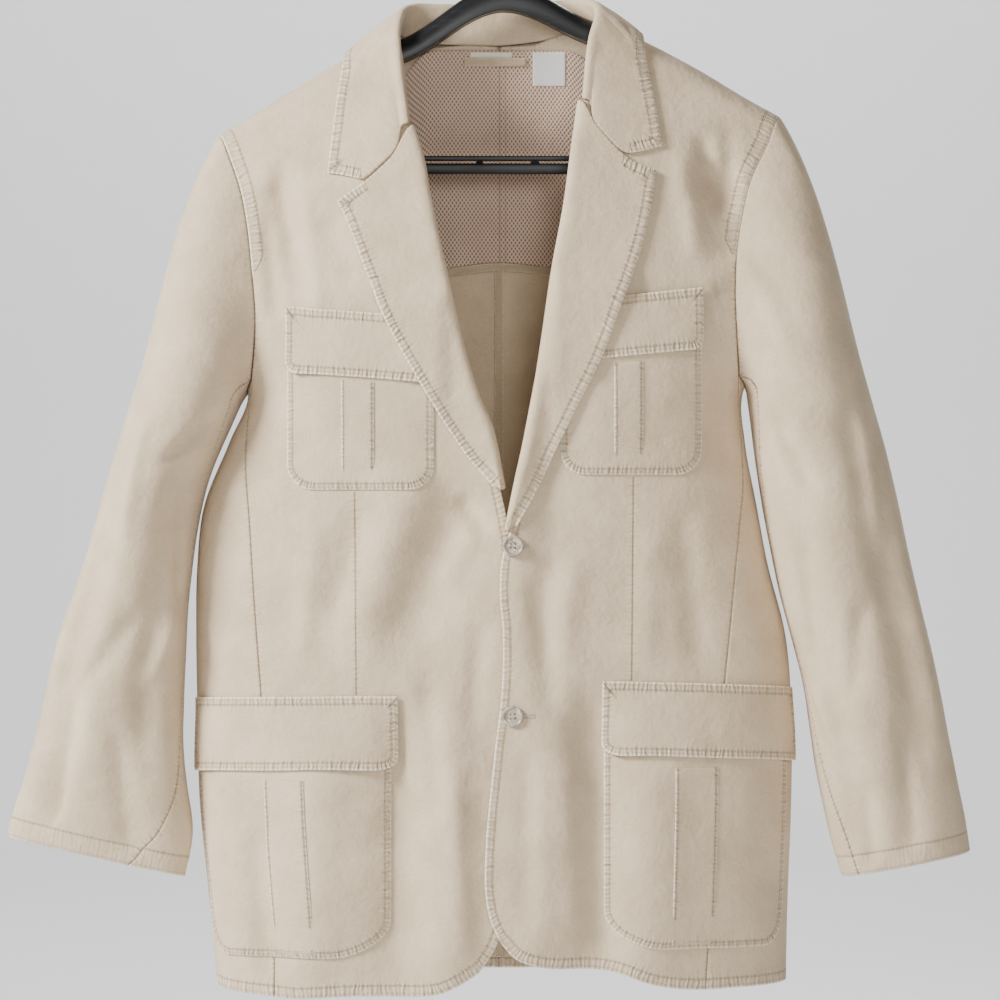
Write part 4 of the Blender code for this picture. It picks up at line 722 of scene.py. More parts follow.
def back_armhole(side):
    """Back armhole as x, z, from the shoulder to the back seam."""
    rows = ARMHOLE[side]
    seam_x, seam_z = back_seam(side)[0]
    inside = [(x - side * 3.0 * k / 5, z) for k, (x, z) in enumerate(rows[1:6], 1)]
    return [rows[0], *inside, (seam_x, seam_z)]


def side_turns(side, front_z, back_z):
    """Turns of the front and the back edge of the side panel at two heights."""
    front = np.asarray(SIDE_SEAM[side], float)
    back = np.asarray(back_seam(side), float)
    front_x = column(front[:, ::-1], 1, front_z)
    back_x = column(back[:, ::-1], 1, back_z)
    return turn_of(front_x, front_z), -turn_of(back_x, back_z)


def armhole(side, turn):
    """Point and outward normal of the torso at the armhole. Turn is 0 at the shoulder, 90
    in front, 180 under the arm and 270 behind."""
    turn = np.asarray(turn, float)
    first = route(arm_run(side, -1), np.interp(turn, ARM_STEPS[:, 1], ARM_STEPS[:, 0]))
    last = route(arm_run(side, 1), np.interp(360 - turn, ARM_STEPS[:, 1], ARM_STEPS[:, 0]))
    top = np.asarray(SIDE_SEAM[side][0][1], float)
    front, back = side_turns(side, top, top)
    share = np.clip((turn - UNDERARM_FROM) / (UNDERARM_TO - UNDERARM_FROM), 0, 1)
    under = front * (1 - share) + back * share
    z = top - UNDERARM_DIP * np.sin(share * math.pi)
    is_front = (turn <= UNDERARM_FROM)[..., None]
    is_back = (turn >= UNDERARM_TO)[..., None]
    points = np.where(is_front, skin_at(first),
                      np.where(is_back, skin_at(last), flank(under, z, side)))
    normals = np.where(is_front, normal_at(first),
                       np.where(is_back, normal_at(last), flank_normal(under, z, side)))
    return points, normals


def sleeve_section(side, station, turn):
    """Point of the sleeve's outer face at a station and a turn round it."""
    rows = np.asarray(SLEEVE[side], float)
    value = interpolate(np.arange(len(rows)), rows, station)
    outer = np.stack([value[..., 0], value[..., 5], value[..., 1]], -1)
    inner = np.stack([value[..., 2], value[..., 5], value[..., 3]], -1)
    angle = np.radians(turn)
    power = 2 / SLEEVE_SQUARENESS
    across = np.sign(np.cos(angle)) * np.abs(np.cos(angle)) ** power
    fore = np.sign(np.sin(angle)) * np.abs(np.sin(angle)) ** power
    fold = np.zeros(np.broadcast(station, turn).shape)
    for place, start, end, width, height in SLEEVE_FOLDS[side]:
        ends = smooth((station - start) / 0.7) * smooth((end - station) / 0.9)
        fold = fold + height * np.exp(-((turn - place) / width) ** 2) * ends
    for turn0, start, turn1, end, width, height in SLEEVE_CREASES[side]:
        share = (station - start) / (end - start)
        ends = smooth(share / 0.3) * smooth((1.1 - share) / 0.35)
        place = turn0 + (turn1 - turn0) * share
        wave = np.exp(-((turn - place) / width) ** 2)
        fold = fold + CREASE_STRENGTH * height * wave * ends
    fold = fold + unevenness(74.0 * np.sin(angle), station * 62.0 + 40.0 * np.cos(angle))
    middle = (outer + inner) / 2
    reach = (outer - inner) / 2
    size = 1 + fold / np.maximum(np.abs(value[..., 4]), 20)
    y = np.stack([np.zeros_like(fore), -value[..., 4] * fore, np.zeros_like(fore)], -1)
    return middle + (reach * across[..., None] + y) * size[..., None]


def sleeve_skin(side, share, turn):
    """Point of a sleeve's outer face. Share runs from the armhole to the cuff."""
    share, turn = np.broadcast_arrays(np.asarray(share, float), np.asarray(turn, float))
    last = len(SLEEVE[side]) - 1
    below = np.clip((share - CAP_SHARE) / (1 - CAP_SHARE), 0, 1) * last
    lower = sleeve_section(side, below, turn)
    t = np.clip(share / CAP_SHARE, 0, 1)[..., None]
    start, normal = armhole(side, turn)
    end = sleeve_section(side, np.zeros_like(turn), turn)
    ahead = unit(sleeve_section(side, np.full_like(turn, 0.02), turn) - end)
    angle = np.radians(turn)
    fore = np.sin(angle)
    leave = unit(np.stack([side * (0.55 + 0.35 * np.abs(fore)), -0.45 * fore,
                           -0.85 + 0.35 * np.abs(fore)], -1))
    length = np.linalg.norm(end - start, axis=-1, keepdims=True) * CAP_REACH
    under = np.clip(-np.cos(angle), 0, 1)[..., None]
    start = start + (leave + normal * under) * SLEEVE_GAP
    cap = start * (2 * t ** 3 - 3 * t ** 2 + 1) + end * (3 * t ** 2 - 2 * t ** 3)
    cap = cap + leave * length * (t ** 3 - 2 * t ** 2 + t) + ahead * length * (t ** 3 - t ** 2)
    return np.where((share <= CAP_SHARE)[..., None], cap, lower)


def pocket_bump(side, x, z):
    """Extra height of the lapel where it crosses the chest pocket and its flap."""
    _, inner, top, bottom, flap_end = CHEST_POCKET[side]
    slant = CHEST_SLANT[side]
    beside = smooth((side * (x - inner) + BUMP_EDGE) / BUMP_EDGE)
    above = smooth((top + BUMP_EDGE - z) / BUMP_EDGE)
    pocket = beside * above * smooth((z - bottom + BUMP_EDGE) / BUMP_EDGE)
    flap = beside * above * smooth((z - flap_end - slant + BUMP_EDGE + 3) / BUMP_EDGE)
    return (POCKET_WALL + 0.6) * pocket + (PILE + FLAP + 0.5) * flap


def lapel_top(side):
    """The gorge seam and the lapel's side of the notch, a seam's gap below the collar."""
    points = [(x, z - NOTCH_GAP) for x, z in GORGE[side]]
    return points + list(LAPEL_NOTCH[side])


def across_to(vector, direction):
    """The part of a vector across a direction, as a unit vector."""
    left = vector - direction * np.sum(vector * direction, axis=-1, keepdims=True)
    return left / np.maximum(np.linalg.norm(left, axis=-1, keepdims=True), 1e-6)


def stand_off(point, height):
    """A point pushed out until it stands at least this high over the cloth."""
    face = np.where(point[..., 1] < 0, -1, 1)
    wrap = wrap_of(point[..., 0], point[..., 2], face)
    normal = skin_normal(point[..., 0], wrap)
    own = np.sum((point - skin(point[..., 0], wrap)) * normal, axis=-1, keepdims=True)
    return point + normal * np.maximum(height - own, 0)


def collar_point(station, share):
    """Point of the collar's show face, from its neck seam up, over and down its fall."""
    count = len(COLLAR_ROLL)
    neck_plane = []
    roll_points = []
    edge_plane = []
    for row, edge in zip(COLLAR_ROLL, COLLAR_EDGE):
        neck_plane.append((row[0], float(wrap_of(row[0], row[1], row[2]))))
        edge_plane.append((edge[0], float(wrap_of(edge[0], edge[1], edge[2]))))
        y = row[4]
        if y is None:
            y = float(skin(row[0], neck_plane[-1][1])[1]) - 6.0
        roll_points.append((row[3], y, row[5]))
    knots = np.arange(count)
    neck = interpolate(knots, neck_plane, station)
    edge = interpolate(knots, edge_plane, station)
    roll = interpolate(knots, roll_points, station)
    run = unit(interpolate(knots, roll_points, station + 0.1)
               - interpolate(knots, roll_points, station - 0.1))
    start = skin_at(neck) + normal_at(neck) * NECK_EASE
    lift = DOUBLE + LAY + SHOULDER_EASE * np.exp(-(edge[..., 1:2] / ROLL) ** 2)
    finish = skin_at(edge) + normal_at(edge) * lift
    across = finish - roll
    rise = roll - start
    up = across_to(rise, run)
    near = (start + roll) / 2
    out = across_to(across_to(across, run), up)
    crest = roll + out * COLLAR_CREST[0] + up * COLLAR_CREST[1]
    landing = roll + out * COLLAR_LANDING[0] - up * COLLAR_LANDING[1]
    bulge = out * COLLAR_BULGE
    steps = [start, near, roll - up * 0.5, crest, landing]
    for k in (0.34, 0.67):
        fall = landing + (finish - landing) * k + bulge * (4 * k * (1 - k))
        steps.append(stand_off(fall, DOUBLE + LAY + COLLAR_BULGE))
    steps.append(finish)
    marks = np.linspace(0, 1, len(steps))
    flat = np.stack(steps, -2)
    k = np.clip(np.searchsorted(marks, share, side="right") - 1, 0, len(steps) - 2)
    t = ((share - marks[k]) * (len(steps) - 1))[..., None]
    index = np.arange(len(flat))
    return flat[index, k] * (1 - t) + flat[index, k + 1] * t


def collar_end(side, share):
    """Border of the collar's end: along the gorge seam and the notch to the tip."""
    points = to_wrap(list(GORGE[side]) + list(COLLAR_NOTCH[side]))
    return route(points, share, soft=False)


def rounded(u, v, width, height, radius):
    """Share of a patch's width that its rounded lower corners leave at each row."""
    rise = (1 - v) * height
    bow = radius - np.sqrt(np.maximum(radius ** 2 - (radius - rise) ** 2, 0))
    inset = np.where(rise < radius, bow, 0)
    edge = inset / width
    return edge + u * (1 - 2 * edge)


def corner_rows(v, height, radius):
    """Rows gathered toward a rounded end, so that it keeps its shape."""
    start = 1 - radius / height
    angle = np.clip((v - 0.55) / 0.45, 0, 1) * math.pi / 2
    return np.where(v < 0.55, v / 0.55 * start, start + (1 - start) * np.sin(angle) * 0.995)


def hanger_top(x):
    """Height of the hanger's upper face: under the cloth, and arched up at the neck."""
    under = shoulder(x) - (WALL + 0.6) * SLOPE_ROOM
    share = np.clip(np.abs(x) / ARCH_HALF, 0, 1)
    rise = ARCH_RISE * 0.5 * (1 + np.cos(share * math.pi))
    return under + rise * (1 - 0.1 * share)


def a_colour(name, description, default):
    """A colour that a user can change."""
    return FloatVectorProperty(name=name, description=description, subtype="COLOR", size=3, min=0,
                               max=1, default=default)


def a_length(name, description, default, low, high):
    """A length in metres that a user can change."""
    return FloatProperty(name=name, description=description, subtype="DISTANCE", unit="LENGTH",
                         default=default, min=low, max=high)


def a_power(name, description, default):
    """A light's power in watts that a user can change."""
    return FloatProperty(name=name, description=description, unit="POWER", default=default, min=0,
                         max=500)


class ClothSizes(bpy.types.PropertyGroup):
    """Sizes and colours of the cloth and its sewing."""
    khaki: a_colour("Khaki", "Colour of the twill where it is least worn", (0.66, 0.525, 0.355))
    # Pale khaki: painted highlight on rolled sewn edges (partly real wear there) and on pucker
    # crests, lighter random grain, and the neck label's colour
    khaki_light: a_colour("Worn khaki", "Colour of rubbed edges and pucker crests",
                          (0.88, 0.80, 0.64))
    # Dark khaki: painted shade in stitched grooves, pucker troughs, the dart line and plain seams,
    # and a share of the random mottle
    khaki_deep: a_colour("Deep khaki", "Colour in stitched grooves, where the dye stays",
                         (0.29, 0.195, 0.115))
    mesh: a_colour("Mesh", "Colour of the lining's threads", (0.66, 0.48, 0.365))
    thread: a_colour("Thread", "Colour of the topstitching", (0.60, 0.51, 0.40))
    label: a_colour("Label", "Colour of the care label", (0.78, 0.77, 0.74))
    twill_pitch: a_length("Twill pitch", "Distance between the twill's diagonal ribs",
                          0.0011, 0.0003, 0.003)
    pucker_pitch: a_length("Pucker pitch", "Distance between the gathers along a stitched edge",
                           0.0039, 0.002, 0.02)
    pucker_depth: a_length("Pucker depth", "How far the gathers stand out", 0.00062, 0, 0.002)
    mesh_pitch: a_length("Mesh pitch", "Distance between the holes of the lining",
                         0.0034, 0.001, 0.01)
    stitch_pitch: a_length("Stitch pitch", "Distance from stitch to stitch", 0.0031, 0.001, 0.01)
    stitch_length: a_length("Stitch length", "Length of one stitch of thread", 0.0024, 0.0005, 0.01)
    thread_width: a_length("Thread width", "Width of the thread", 0.0006, 0.0002, 0.002)


class ButtonSizes(bpy.types.PropertyGroup):
    """Sizes and colour of the buttons."""
    radius: a_length("Radius", "Radius of a button", BUTTON_RADIUS * MM, 0.004, 0.02)
    thick: a_length("Thickness", "Thickness of a button at its rim", BUTTON_THICK * MM,
                    0.001, 0.006)
    pearl: a_colour("Pearl", "Colour of the buttons", (0.34, 0.28, 0.21))


class HangerSizes(bpy.types.PropertyGroup):
    """Finish of the hanger."""
    plastic: a_colour("Plastic", "Colour of the moulded hanger", (0.008, 0.0085, 0.0095))
    wire: a_colour("Hook", "Colour of the hook", (0.008, 0.0085, 0.0095))
    rounding: a_length("Rounding", "Radius of the moulded edges", 0.0016, 0.0002, 0.004)


class StageSizes(bpy.types.PropertyGroup):
    """Floor, lights and camera."""
    floor_height: a_length("Floor", "Height of the floor below the rod", -1.30, -3, -1)
    floor: a_colour("Floor colour", "Colour of the floor and the backdrop", (0.80, 0.81, 0.83))
    key: a_power("Key light", "Power of the large soft light", 240)
    fill: a_power("Fill light", "Power of the light from the other side", 46)
    camera_distance: a_length("Camera distance", "Camera to the front of the jacket", 3.6, 1, 10)
    frame_width: a_length("Frame width", "Width of the view at the jacket's front", 0.84, 0.2, 3)


GROUPS = (("jacket_cloth", ClothSizes), ("jacket_buttons", ButtonSizes),
          ("jacket_hanger", HangerSizes), ("jacket_stage", StageSizes))


class Amount:
    """A socket's number or vector in a finish, for arithmetic in plain Python."""

    def __init__(self, finish, socket):
        self.finish = finish
        self.socket = socket

    def _with(self, operation, *others):
        return self.finish.maths(operation, self, *others)

    def __add__(self, other):
        return self._with("ADD", other)

    def __sub__(self, other):
        return self._with("SUBTRACT", other)

    def __mul__(self, other):
        return self._with("MULTIPLY", other)

    def __truediv__(self, other):
        return self._with("DIVIDE", other)

    def __neg__(self):
        return self._with("MULTIPLY", -1.0)

    def __radd__(self, other):
        return self.finish.maths("ADD", other, self)

    def __rsub__(self, other):
        return self.finish.maths("SUBTRACT", other, self)

    def __rmul__(self, other):
        return self.finish.maths("MULTIPLY", other, self)

    def __rtruediv__(self, other):
        return self.finish.maths("DIVIDE", other, self)

    def sine(self):
        return self._with("SINE")

    def bell(self):
        """1 at 0, and nothing a few units away."""
        return self.finish.maths("EXPONENT", -(self * self))

    def held(self):
        """Kept between 0 and 1."""
        return self.finish.maths("MINIMUM", self.finish.maths("MAXIMUM", self, 0.0), 1.0)


class Finish:
    """A material with one surface shader, and the nodes that vary it."""

    def __init__(self, name, roughness, specular=0.5, sheen=0.0, coat=0.0):
        self.material = bpy.data.materials.new(name)
        self.material.use_nodes = True
        self.tree = self.material.node_tree
        self.shader = self.tree.nodes["Principled BSDF"]
        for socket, value in (("Roughness", roughness), ("Specular IOR Level", specular),
                              ("Sheen Weight", sheen), ("Sheen Roughness", 0.6),
                              ("Coat Weight", coat)):
            self.shader.inputs[socket].default_value = value

    def node(self, kind, settings=None, **sockets):
        """A node of a kind, with its settings and then the values or links of its sockets."""
        node = self.tree.nodes.new(kind)
        for name, value in (settings or {}).items():
            setattr(node, name, value)
        for name, value in sockets.items():
            key = int(name[1:]) if name[0] == "_" else name.replace("_", " ")
            self.feed(node.inputs[key], value)
        return node

    def feed(self, socket, value):
        """Link an amount to a socket, or set the socket's own value."""
        if isinstance(value, Amount):
            self.tree.links.new(value.socket, socket)
        elif hasattr(socket.default_value, "__len__") and not hasattr(value, "__len__"):
            socket.default_value = [value] * len(socket.default_value)
        elif hasattr(value, "__len__") and len(socket.default_value) > len(value):
            socket.default_value = (*value, 1.0)
        else:
            socket.default_value = value

    def maths(self, operation, *values):
        """Amount from a Math node."""
        sockets = {"_%d" % k: value for k, value in enumerate(values)}
        node = self.node("ShaderNodeMath", {"operation": operation}, **sockets)
        return Amount(self, node.outputs[0])

    def attribute(self, name):
        """A mesh's attribute as a vector and as a number."""
        node = self.node("ShaderNodeAttribute", {"attribute_name": name})
        return Amount(self, node.outputs["Vector"]), Amount(self, node.outputs["Fac"])

    def split(self, vector):
        node = self.node("ShaderNodeSeparateXYZ", Vector=vector)
        return [Amount(self, node.outputs[k]) for k in range(3)]

    def stretched(self, vector, scale):
        """A place with its axes scaled."""
        node = self.node("ShaderNodeVectorMath", {"operation": "MULTIPLY"}, _0=vector, _1=scale)
        return Amount(self, node.outputs[0])

    def noise(self, vector, scale, detail=3.0, rough=0.55):
        node = self.node("ShaderNodeTexNoise", Vector=vector, Scale=scale, Detail=detail,
                         Roughness=rough)
        return Amount(self, node.outputs["Fac"])

    def mixed(self, factor, first, second):
        node = self.node("ShaderNodeMix", {"data_type": "RGBA"}, Factor=factor, _6=first, _7=second)
        return Amount(self, node.outputs[2])

    def object_place(self):
        node = self.node("ShaderNodeTexCoord")
        return Amount(self, node.outputs["Object"])

    def colour(self, value):
        self.feed(self.shader.inputs["Base Color"], value)

    def relief(self, height):
        """Bump from a height in millimetres."""
        node = self.node("ShaderNodeBump", Height=height, Distance=MM, Strength=1.0)
        self.tree.links.new(node.outputs["Normal"], self.shader.inputs["Normal"])


def khaki_finish(look):
    """Washed cotton twill: fine ribs and gathered stitched edges, with painted highlights on rolled
    edges (partly real wear) and gather crests, and painted shade in grooves, seams and troughs.
    """
    cloth = Finish("washed_twill", 0.88, 0.25, sheen=0.1)
    away, along, band = cloth.split(cloth.attribute("edge")[0])
    pull = cloth.attribute("pull")[1]
    seam_away, seam_along, seam_pull = cloth.split(cloth.attribute("seam")[0])
    dart_side, dart_over, dart_run = cloth.split(cloth.attribute("dart")[0])
    place = cloth.attribute("cloth")[0]
    u, v, _ = cloth.split(place)
    solid = cloth.stretched(cloth.object_place(), (1 / MM, 1 / MM, 1 / MM))
    wander = cloth.noise(solid, 0.06, 2.0)
    patchy = ((cloth.noise(solid, 0.13, 2.0) - 0.3) * 2.4).held()
    grain = cloth.noise(solid, 0.9, 2.0)
    slub = cloth.noise(cloth.stretched(place, (0.10, 0.9, 1.0)), 1.0, 2.0)
    mottle = cloth.noise(solid, 0.022, 4.0, 0.6)
    turn = math.tau / (look.pucker_pitch / MM)
    depth_now = look.pucker_depth / MM

    def gathers(run):
        phase = run * turn + wander * 13.0
        return phase.sine() * 0.6 + (phase * 0.53 + 1.3).sine() * 0.4

    sewn = (pull * 4.0).held()
    inside = ((band + 2.6 - away) / 3.0).held()
    pucker = gathers(along) * inside * pull * (patchy * 0.75 + 0.25)
    beyond = gathers(along) * ((away - band) / 6.0).bell() * pull * patchy * 0.4
    seam_pucker = gathers(seam_along) * (seam_away / 3.6).bell() * seam_pull
    groove = ((away - band) / 0.9).bell() * sewn
    rim = (away / 1.5).bell() * sewn
    seam_rim = (seam_away / 0.9).bell()
    dart_line = (dart_side / 0.8).bell() * (1.0 - dart_over.held())
    dart_pull = gathers(dart_run) * (dart_side / 4.5).bell() * (1.0 - dart_over.held())
    waves = pucker + beyond + seam_pucker + dart_pull * 0.35
    ribs = ((u + v) * (math.tau * 0.7071 / (look.twill_pitch / MM))).sine()
    height = waves * depth_now - groove * 0.34 - rim * 0.25 - seam_rim * 0.4 - dart_line * 0.5
    height = height + ribs * 0.02 + (grain - 0.5) * 0.13
    height = height + (cloth.noise(solid, 0.22, 3.0) - 0.5) * 0.5 + (wander - 0.5) * 1.3
    tone = cloth.mixed(((mottle - 0.36) * 2.4).held(), look.khaki, [
        0.66 * a + 0.34 * b for a, b in zip(look.khaki, look.khaki_deep)])
    # Painted highlight: rolled sewn edges (partly real wear) and the crests of the gathers lighten
    # toward the pale khaki, along with random grain and slubs
    light = rim * 0.95 + (waves * 1.3).held() * 0.75 + (grain - 0.55) * 1.6 + (slub - 0.6) * 1.1
    tone = cloth.mixed(light.held(), tone, look.khaki_light)
    # Painted shade: stitched grooves, pucker troughs, the dart line and plain seams darken toward
    # the dark khaki, with random grain and a thin darker line 2.3 mm inside each sewn edge
    dark = groove * 0.55 + (waves * -1.3).held() * 0.42 + dart_line * 0.75 + seam_rim * 0.5
    dark = dark + (0.45 - grain).held() * 1.4 + ((away - 2.3) / 1.0).bell() * 0.3 * sewn
    tone = cloth.mixed(dark.held(), tone, look.khaki_deep)
    cloth.colour(tone)
    cloth.relief(height)
    return cloth.material


def mesh_finish(look):
    """Warp-knit mesh: rows of small holes set diagonally, with painted shade in each hole for the
    cloth seen through it.
    """
    mesh = Finish("pierced_mesh", 0.85, 0.2)
    place = mesh.attribute("cloth")[0]
    u, v, _ = mesh.split(place)
    turn = math.tau / (look.mesh_pitch / MM)
    drift = mesh.noise(place, 0.03, 2.0) * 3.0
    rows = (u * turn + drift).sine()
    across = (v * (turn * 0.7) + drift).sine()
    hole = ((rows * across - 0.15) * 2.6).held()
    knot = ((rows * across * -1.0 - 0.3) * 2.0).held()
    grain = mesh.noise(place, 1.3, 2.0)
    soft = mesh.noise(place, 0.025, 3.0)
    tone = mesh.mixed(((soft - 0.3) * 1.6).held(), look.mesh, [c * 0.72 for c in look.mesh])
    bright = [min(1.0, c * 1.5) for c in look.mesh]
    tone = mesh.mixed((knot * 0.5 + grain * 0.2).held(), tone, bright)
    # Painted shade: the holes darken as the shaded back cloth behind the mesh would show through
    # them
    tone = mesh.mixed((hole * 0.85).held(), tone, [c * 0.30 for c in look.mesh])
    seam = (u / 0.8).bell() + ((u - 5.0) / 0.7).bell() * 0.6
    tone = mesh.mixed((seam * 0.55).held(), tone, [c * 0.45 for c in look.mesh])
    mesh.colour(tone)
    mesh.relief(hole * -0.5 + knot * 0.2 - seam * 0.4 + (grain - 0.5) * 0.15)
    return mesh.material


def thread_finish(look):
    """Twisted cotton thread."""
    thread = Finish("topstitch_thread", 0.6, 0.4, sheen=0.2)
    place = thread.object_place()
    twist = thread.noise(place, 900.0, 2.0)
    thread.colour(thread.mixed(twist, look.thread, [c * 0.62 for c in look.thread]))
    thread.relief(twist * 0.1)
    return thread.material


def label_finish(name, colour):
    """Woven satin label with fine ribs."""
    label = Finish(name, 0.62, 0.4, sheen=0.1)
    place, _ = label.attribute("cloth")
    u, v, _ = label.split(place)
    ribs = (u * (math.tau / 0.7)).sine() * (v * (math.tau / 0.9)).sine()
    grain = label.noise(place, 0.7, 2.0)
    label.colour(label.mixed((grain * 0.5).held(), colour, [c * 0.8 for c in colour]))
    label.relief(ribs * 0.04 + grain * 0.06)
    return label.material


def plastic_finish(name, colour, roughness):
    """Moulded plastic with a faint orange-peel skin and fine scuffs."""
    plastic = Finish(name, roughness, 0.28)
    place = plastic.object_place()
    peel = plastic.noise(place, 420.0, 2.0)
    scuff = plastic.noise(plastic.stretched(place, (30.0, 160.0, 160.0)), 1.0, 4.0)
    rub = ((scuff - 0.56) * 5.0).held()
    plastic.colour(plastic.mixed((rub * 0.5).held(), colour, [c * 1.9 + 0.008 for c in colour]))
    rough = rub * 0.14 + roughness
    plastic.tree.links.new(rough.socket, plastic.shader.inputs["Roughness"])
    plastic.relief(peel * 0.035)
    return plastic.material


def pearl_finish(colour):
    """Smoky pearl: cloudy bands under a clear polished face."""
    pearl = Finish("pearl_button", 0.22, 0.55, coat=0.5)
    place = pearl.object_place()
    cloud = pearl.noise(pearl.stretched(place, (260.0, 260.0, 130.0)), 1.0, 4.0, 0.65)
    flake = pearl.noise(place, 1500.0, 2.0)
    tone = pearl.mixed(((cloud - 0.35) * 3.0).held(), [c * 0.5 for c in colour],
                       [min(1.0, c * 1.75) for c in colour])
    pearl.colour(pearl.mixed((flake * 0.14).held(), tone, (0.85, 0.82, 0.78)))
    pearl.relief(cloud * 0.03)
    return pearl.material


def placed(name, data):
    """A new object in the scene."""
    thing = bpy.data.objects.new(name, data)
    bpy.context.scene.collection.objects.link(thing)
    return thing


def modelled(name, bm, material):
    """The object of a finished bmesh, smooth and in its material."""
    mesh = bpy.data.meshes.new(name)
    bm.to_mesh(mesh)
    bm.free()
    mesh.materials.append(material)
    mesh.shade_smooth()
    return placed(name, mesh)


def kept(name, make):
    """A finish that is made once and then shared."""
    return bpy.data.materials.get(name) or make()


def khaki():
    """The twill of the jacket."""
    return kept("washed_twill", lambda: khaki_finish(bpy.context.scene.jacket_cloth))


def unevenness(x, z):
    """Slight waves of hanging twill, as a height."""
    broad = np.sin(x / 19.0 + z / 47.0 + 0.6) * np.sin(z / 29.0 - x / 37.0 + 1.1)
    small = np.sin(x / 8.3 - z / 17.0) * np.sin(z / 12.1 + x / 21.0 + 0.4)
    return 0.45 * broad + 0.14 * small


def marks_along(points, cell):
    """Shares that cut a sampled line into even cells, with closer lines beside its ends."""
    run = run_of(points)
    length = run[-1]
    beside = np.array([line_at for line_at in (0.0, *EDGE_LINES) if line_at < length / 5])
    first = beside[-1] + min(cell, length / 5) * 0.8
    count = max(2, int(round((length - 2 * first) / cell)) + 1)
    places = [*beside, *np.linspace(first, length - first, count), *(length - beside[::-1])]
    return np.interp(places, run, np.linspace(0, 1, len(points)))


def runs_along(points, axis):
    """Length from the first line of points to each of the others."""
    steps = np.linalg.norm(np.diff(points, axis=axis), axis=-1)
    total = np.cumsum(steps, axis=axis)
    return np.concatenate([np.zeros_like(np.take(total, [0], axis)), total], axis)


def beside_border(points, border):
    """Distance from each point to a border line, and how far along it the nearest place is."""
    flat = points.reshape(-1, 3)
    start = border[:-1]
    step = np.diff(border, axis=0)
    size = np.maximum(np.sum(step * step, axis=1), 1e-9)
    run = np.concatenate([[0.0], np.cumsum(np.sqrt(size))])
    away = np.empty(len(flat))
    along = np.empty(len(flat))
    for low in range(0, len(flat), 2000):
        part = flat[low:low + 2000, None, :] - start[None]
        share = np.clip(np.sum(part * step[None], axis=2) / size[None], 0, 1)
        gap = np.linalg.norm(part - share[..., None] * step[None], axis=2)
        near = np.argmin(gap, axis=1)
        rows = np.arange(len(part))
        away[low:low + 2000] = gap[rows, near]
        along[low:low + 2000] = run[near] + share[rows, near] * np.sqrt(size[near])
    return away.reshape(points.shape[:2]), along.reshape(points.shape[:2]), run[-1]


def beside_borders(points, sewn):
    """For each point, its nearest stitched border as distance, place along, stitching and
    pull, its nearest plain one, and the distances from every sewn border."""
    borders = {"u0": points[0], "u1": points[-1], "v0": points[:, 0], "v1": points[:, -1]}
    fields = {}
    edge = np.zeros((*points.shape[:2], 4))
    edge[..., 0] = FAR
    seam = edge[..., :3]
    passed = 0.0
    for border in ("u0", "v1", "u1", "v0"):
        on_way = border in ("u0", "v1")
        border_line = borders[border] if on_way else borders[border][::-1]
        away, along, length = beside_border(points, border_line)
        if border in sewn:
            table = np.asarray(sewn[border], float)
            share = along / length if on_way else 1 - along / length
            band = np.interp(share, table[:, 0], table[:, 1])
            pull = np.interp(share, table[:, 0], table[:, 2])
            fields[border] = (away, band)
            stitched = band > 1.0
            here = np.stack([away, along + passed, band, pull], -1)
            closer = stitched & (away - band < edge[..., 0] - edge[..., 2])
            edge = np.where(closer[..., None], here, edge)
            closer = ~stitched & (away < seam[..., 0])
            seam = np.where(closer[..., None], here[..., (0, 1, 3)], seam)
        passed += length
    return fields, edge, seam


def beside_dart(points, dart):
    """For each point, its distance from a dart line, how far past its ends, and how far along."""
    if dart is None:
        return np.zeros_like(points) + (0.0, 5 * FAR, 0.0)
    top, foot = np.array(dart[:2]), np.array(dart[2:])
    step = (foot - top) / np.linalg.norm(foot - top)
    offset = points[..., (0, 2)] - top
    along = offset @ step
    past = np.maximum(-along, along - np.linalg.norm(foot - top))
    return np.stack([offset[..., 0] * step[1] - offset[..., 1] * step[0], past, along], -1)


SEWING = {}


def turned(grid, border):
    """A grid seen from one border: its first axis leads inward."""
    if border[0] == "v":
        grid = np.swapaxes(grid, 0, 1)
    return grid if border[1] == "0" else grid[::-1]


def sew_borders(group, points, normals, fields):
    """Stitches at their distance inside every border that has topstitching."""
    for border, (away, band) in fields.items():
        away_in = turned(away, border)
        point_in = turned(points, border)
        normal_in = turned(normals, border)
        level = turned(band, border)[0]
        clear = np.full(away.shape, 99.0)
        for other, (other_away, other_band) in fields.items():
            if other != border:
                clear = np.minimum(clear, other_away - other_band)
        clear_in = turned(clear, border)
        beyond = away_in >= level[None]
        row = np.argmax(beyond, axis=0)
        use = beyond.any(axis=0) & (row > 0) & (level > 1.0)
        across = np.arange(away_in.shape[1])
        before = np.maximum(row - 1, 0)
        near = away_in[before, across]
        far = away_in[row, across]
        part = ((level - near) / np.maximum(far - near, 1e-6))[:, None]

        def at_line(grid, part):
            return grid[before, across] * (1 - part) + grid[row, across] * part

        line_points = at_line(point_in, part)
        line_normals = unit(at_line(normal_in, part))
        use &= at_line(clear_in, part[:, 0]) > -0.3
        cut = np.flatnonzero(np.diff(use.astype(int))) + 1
        for piece in np.split(across, cut):
            if use[piece[0]] and len(piece) > 1:
                sew(group, line_points[piece], line_normals[piece])


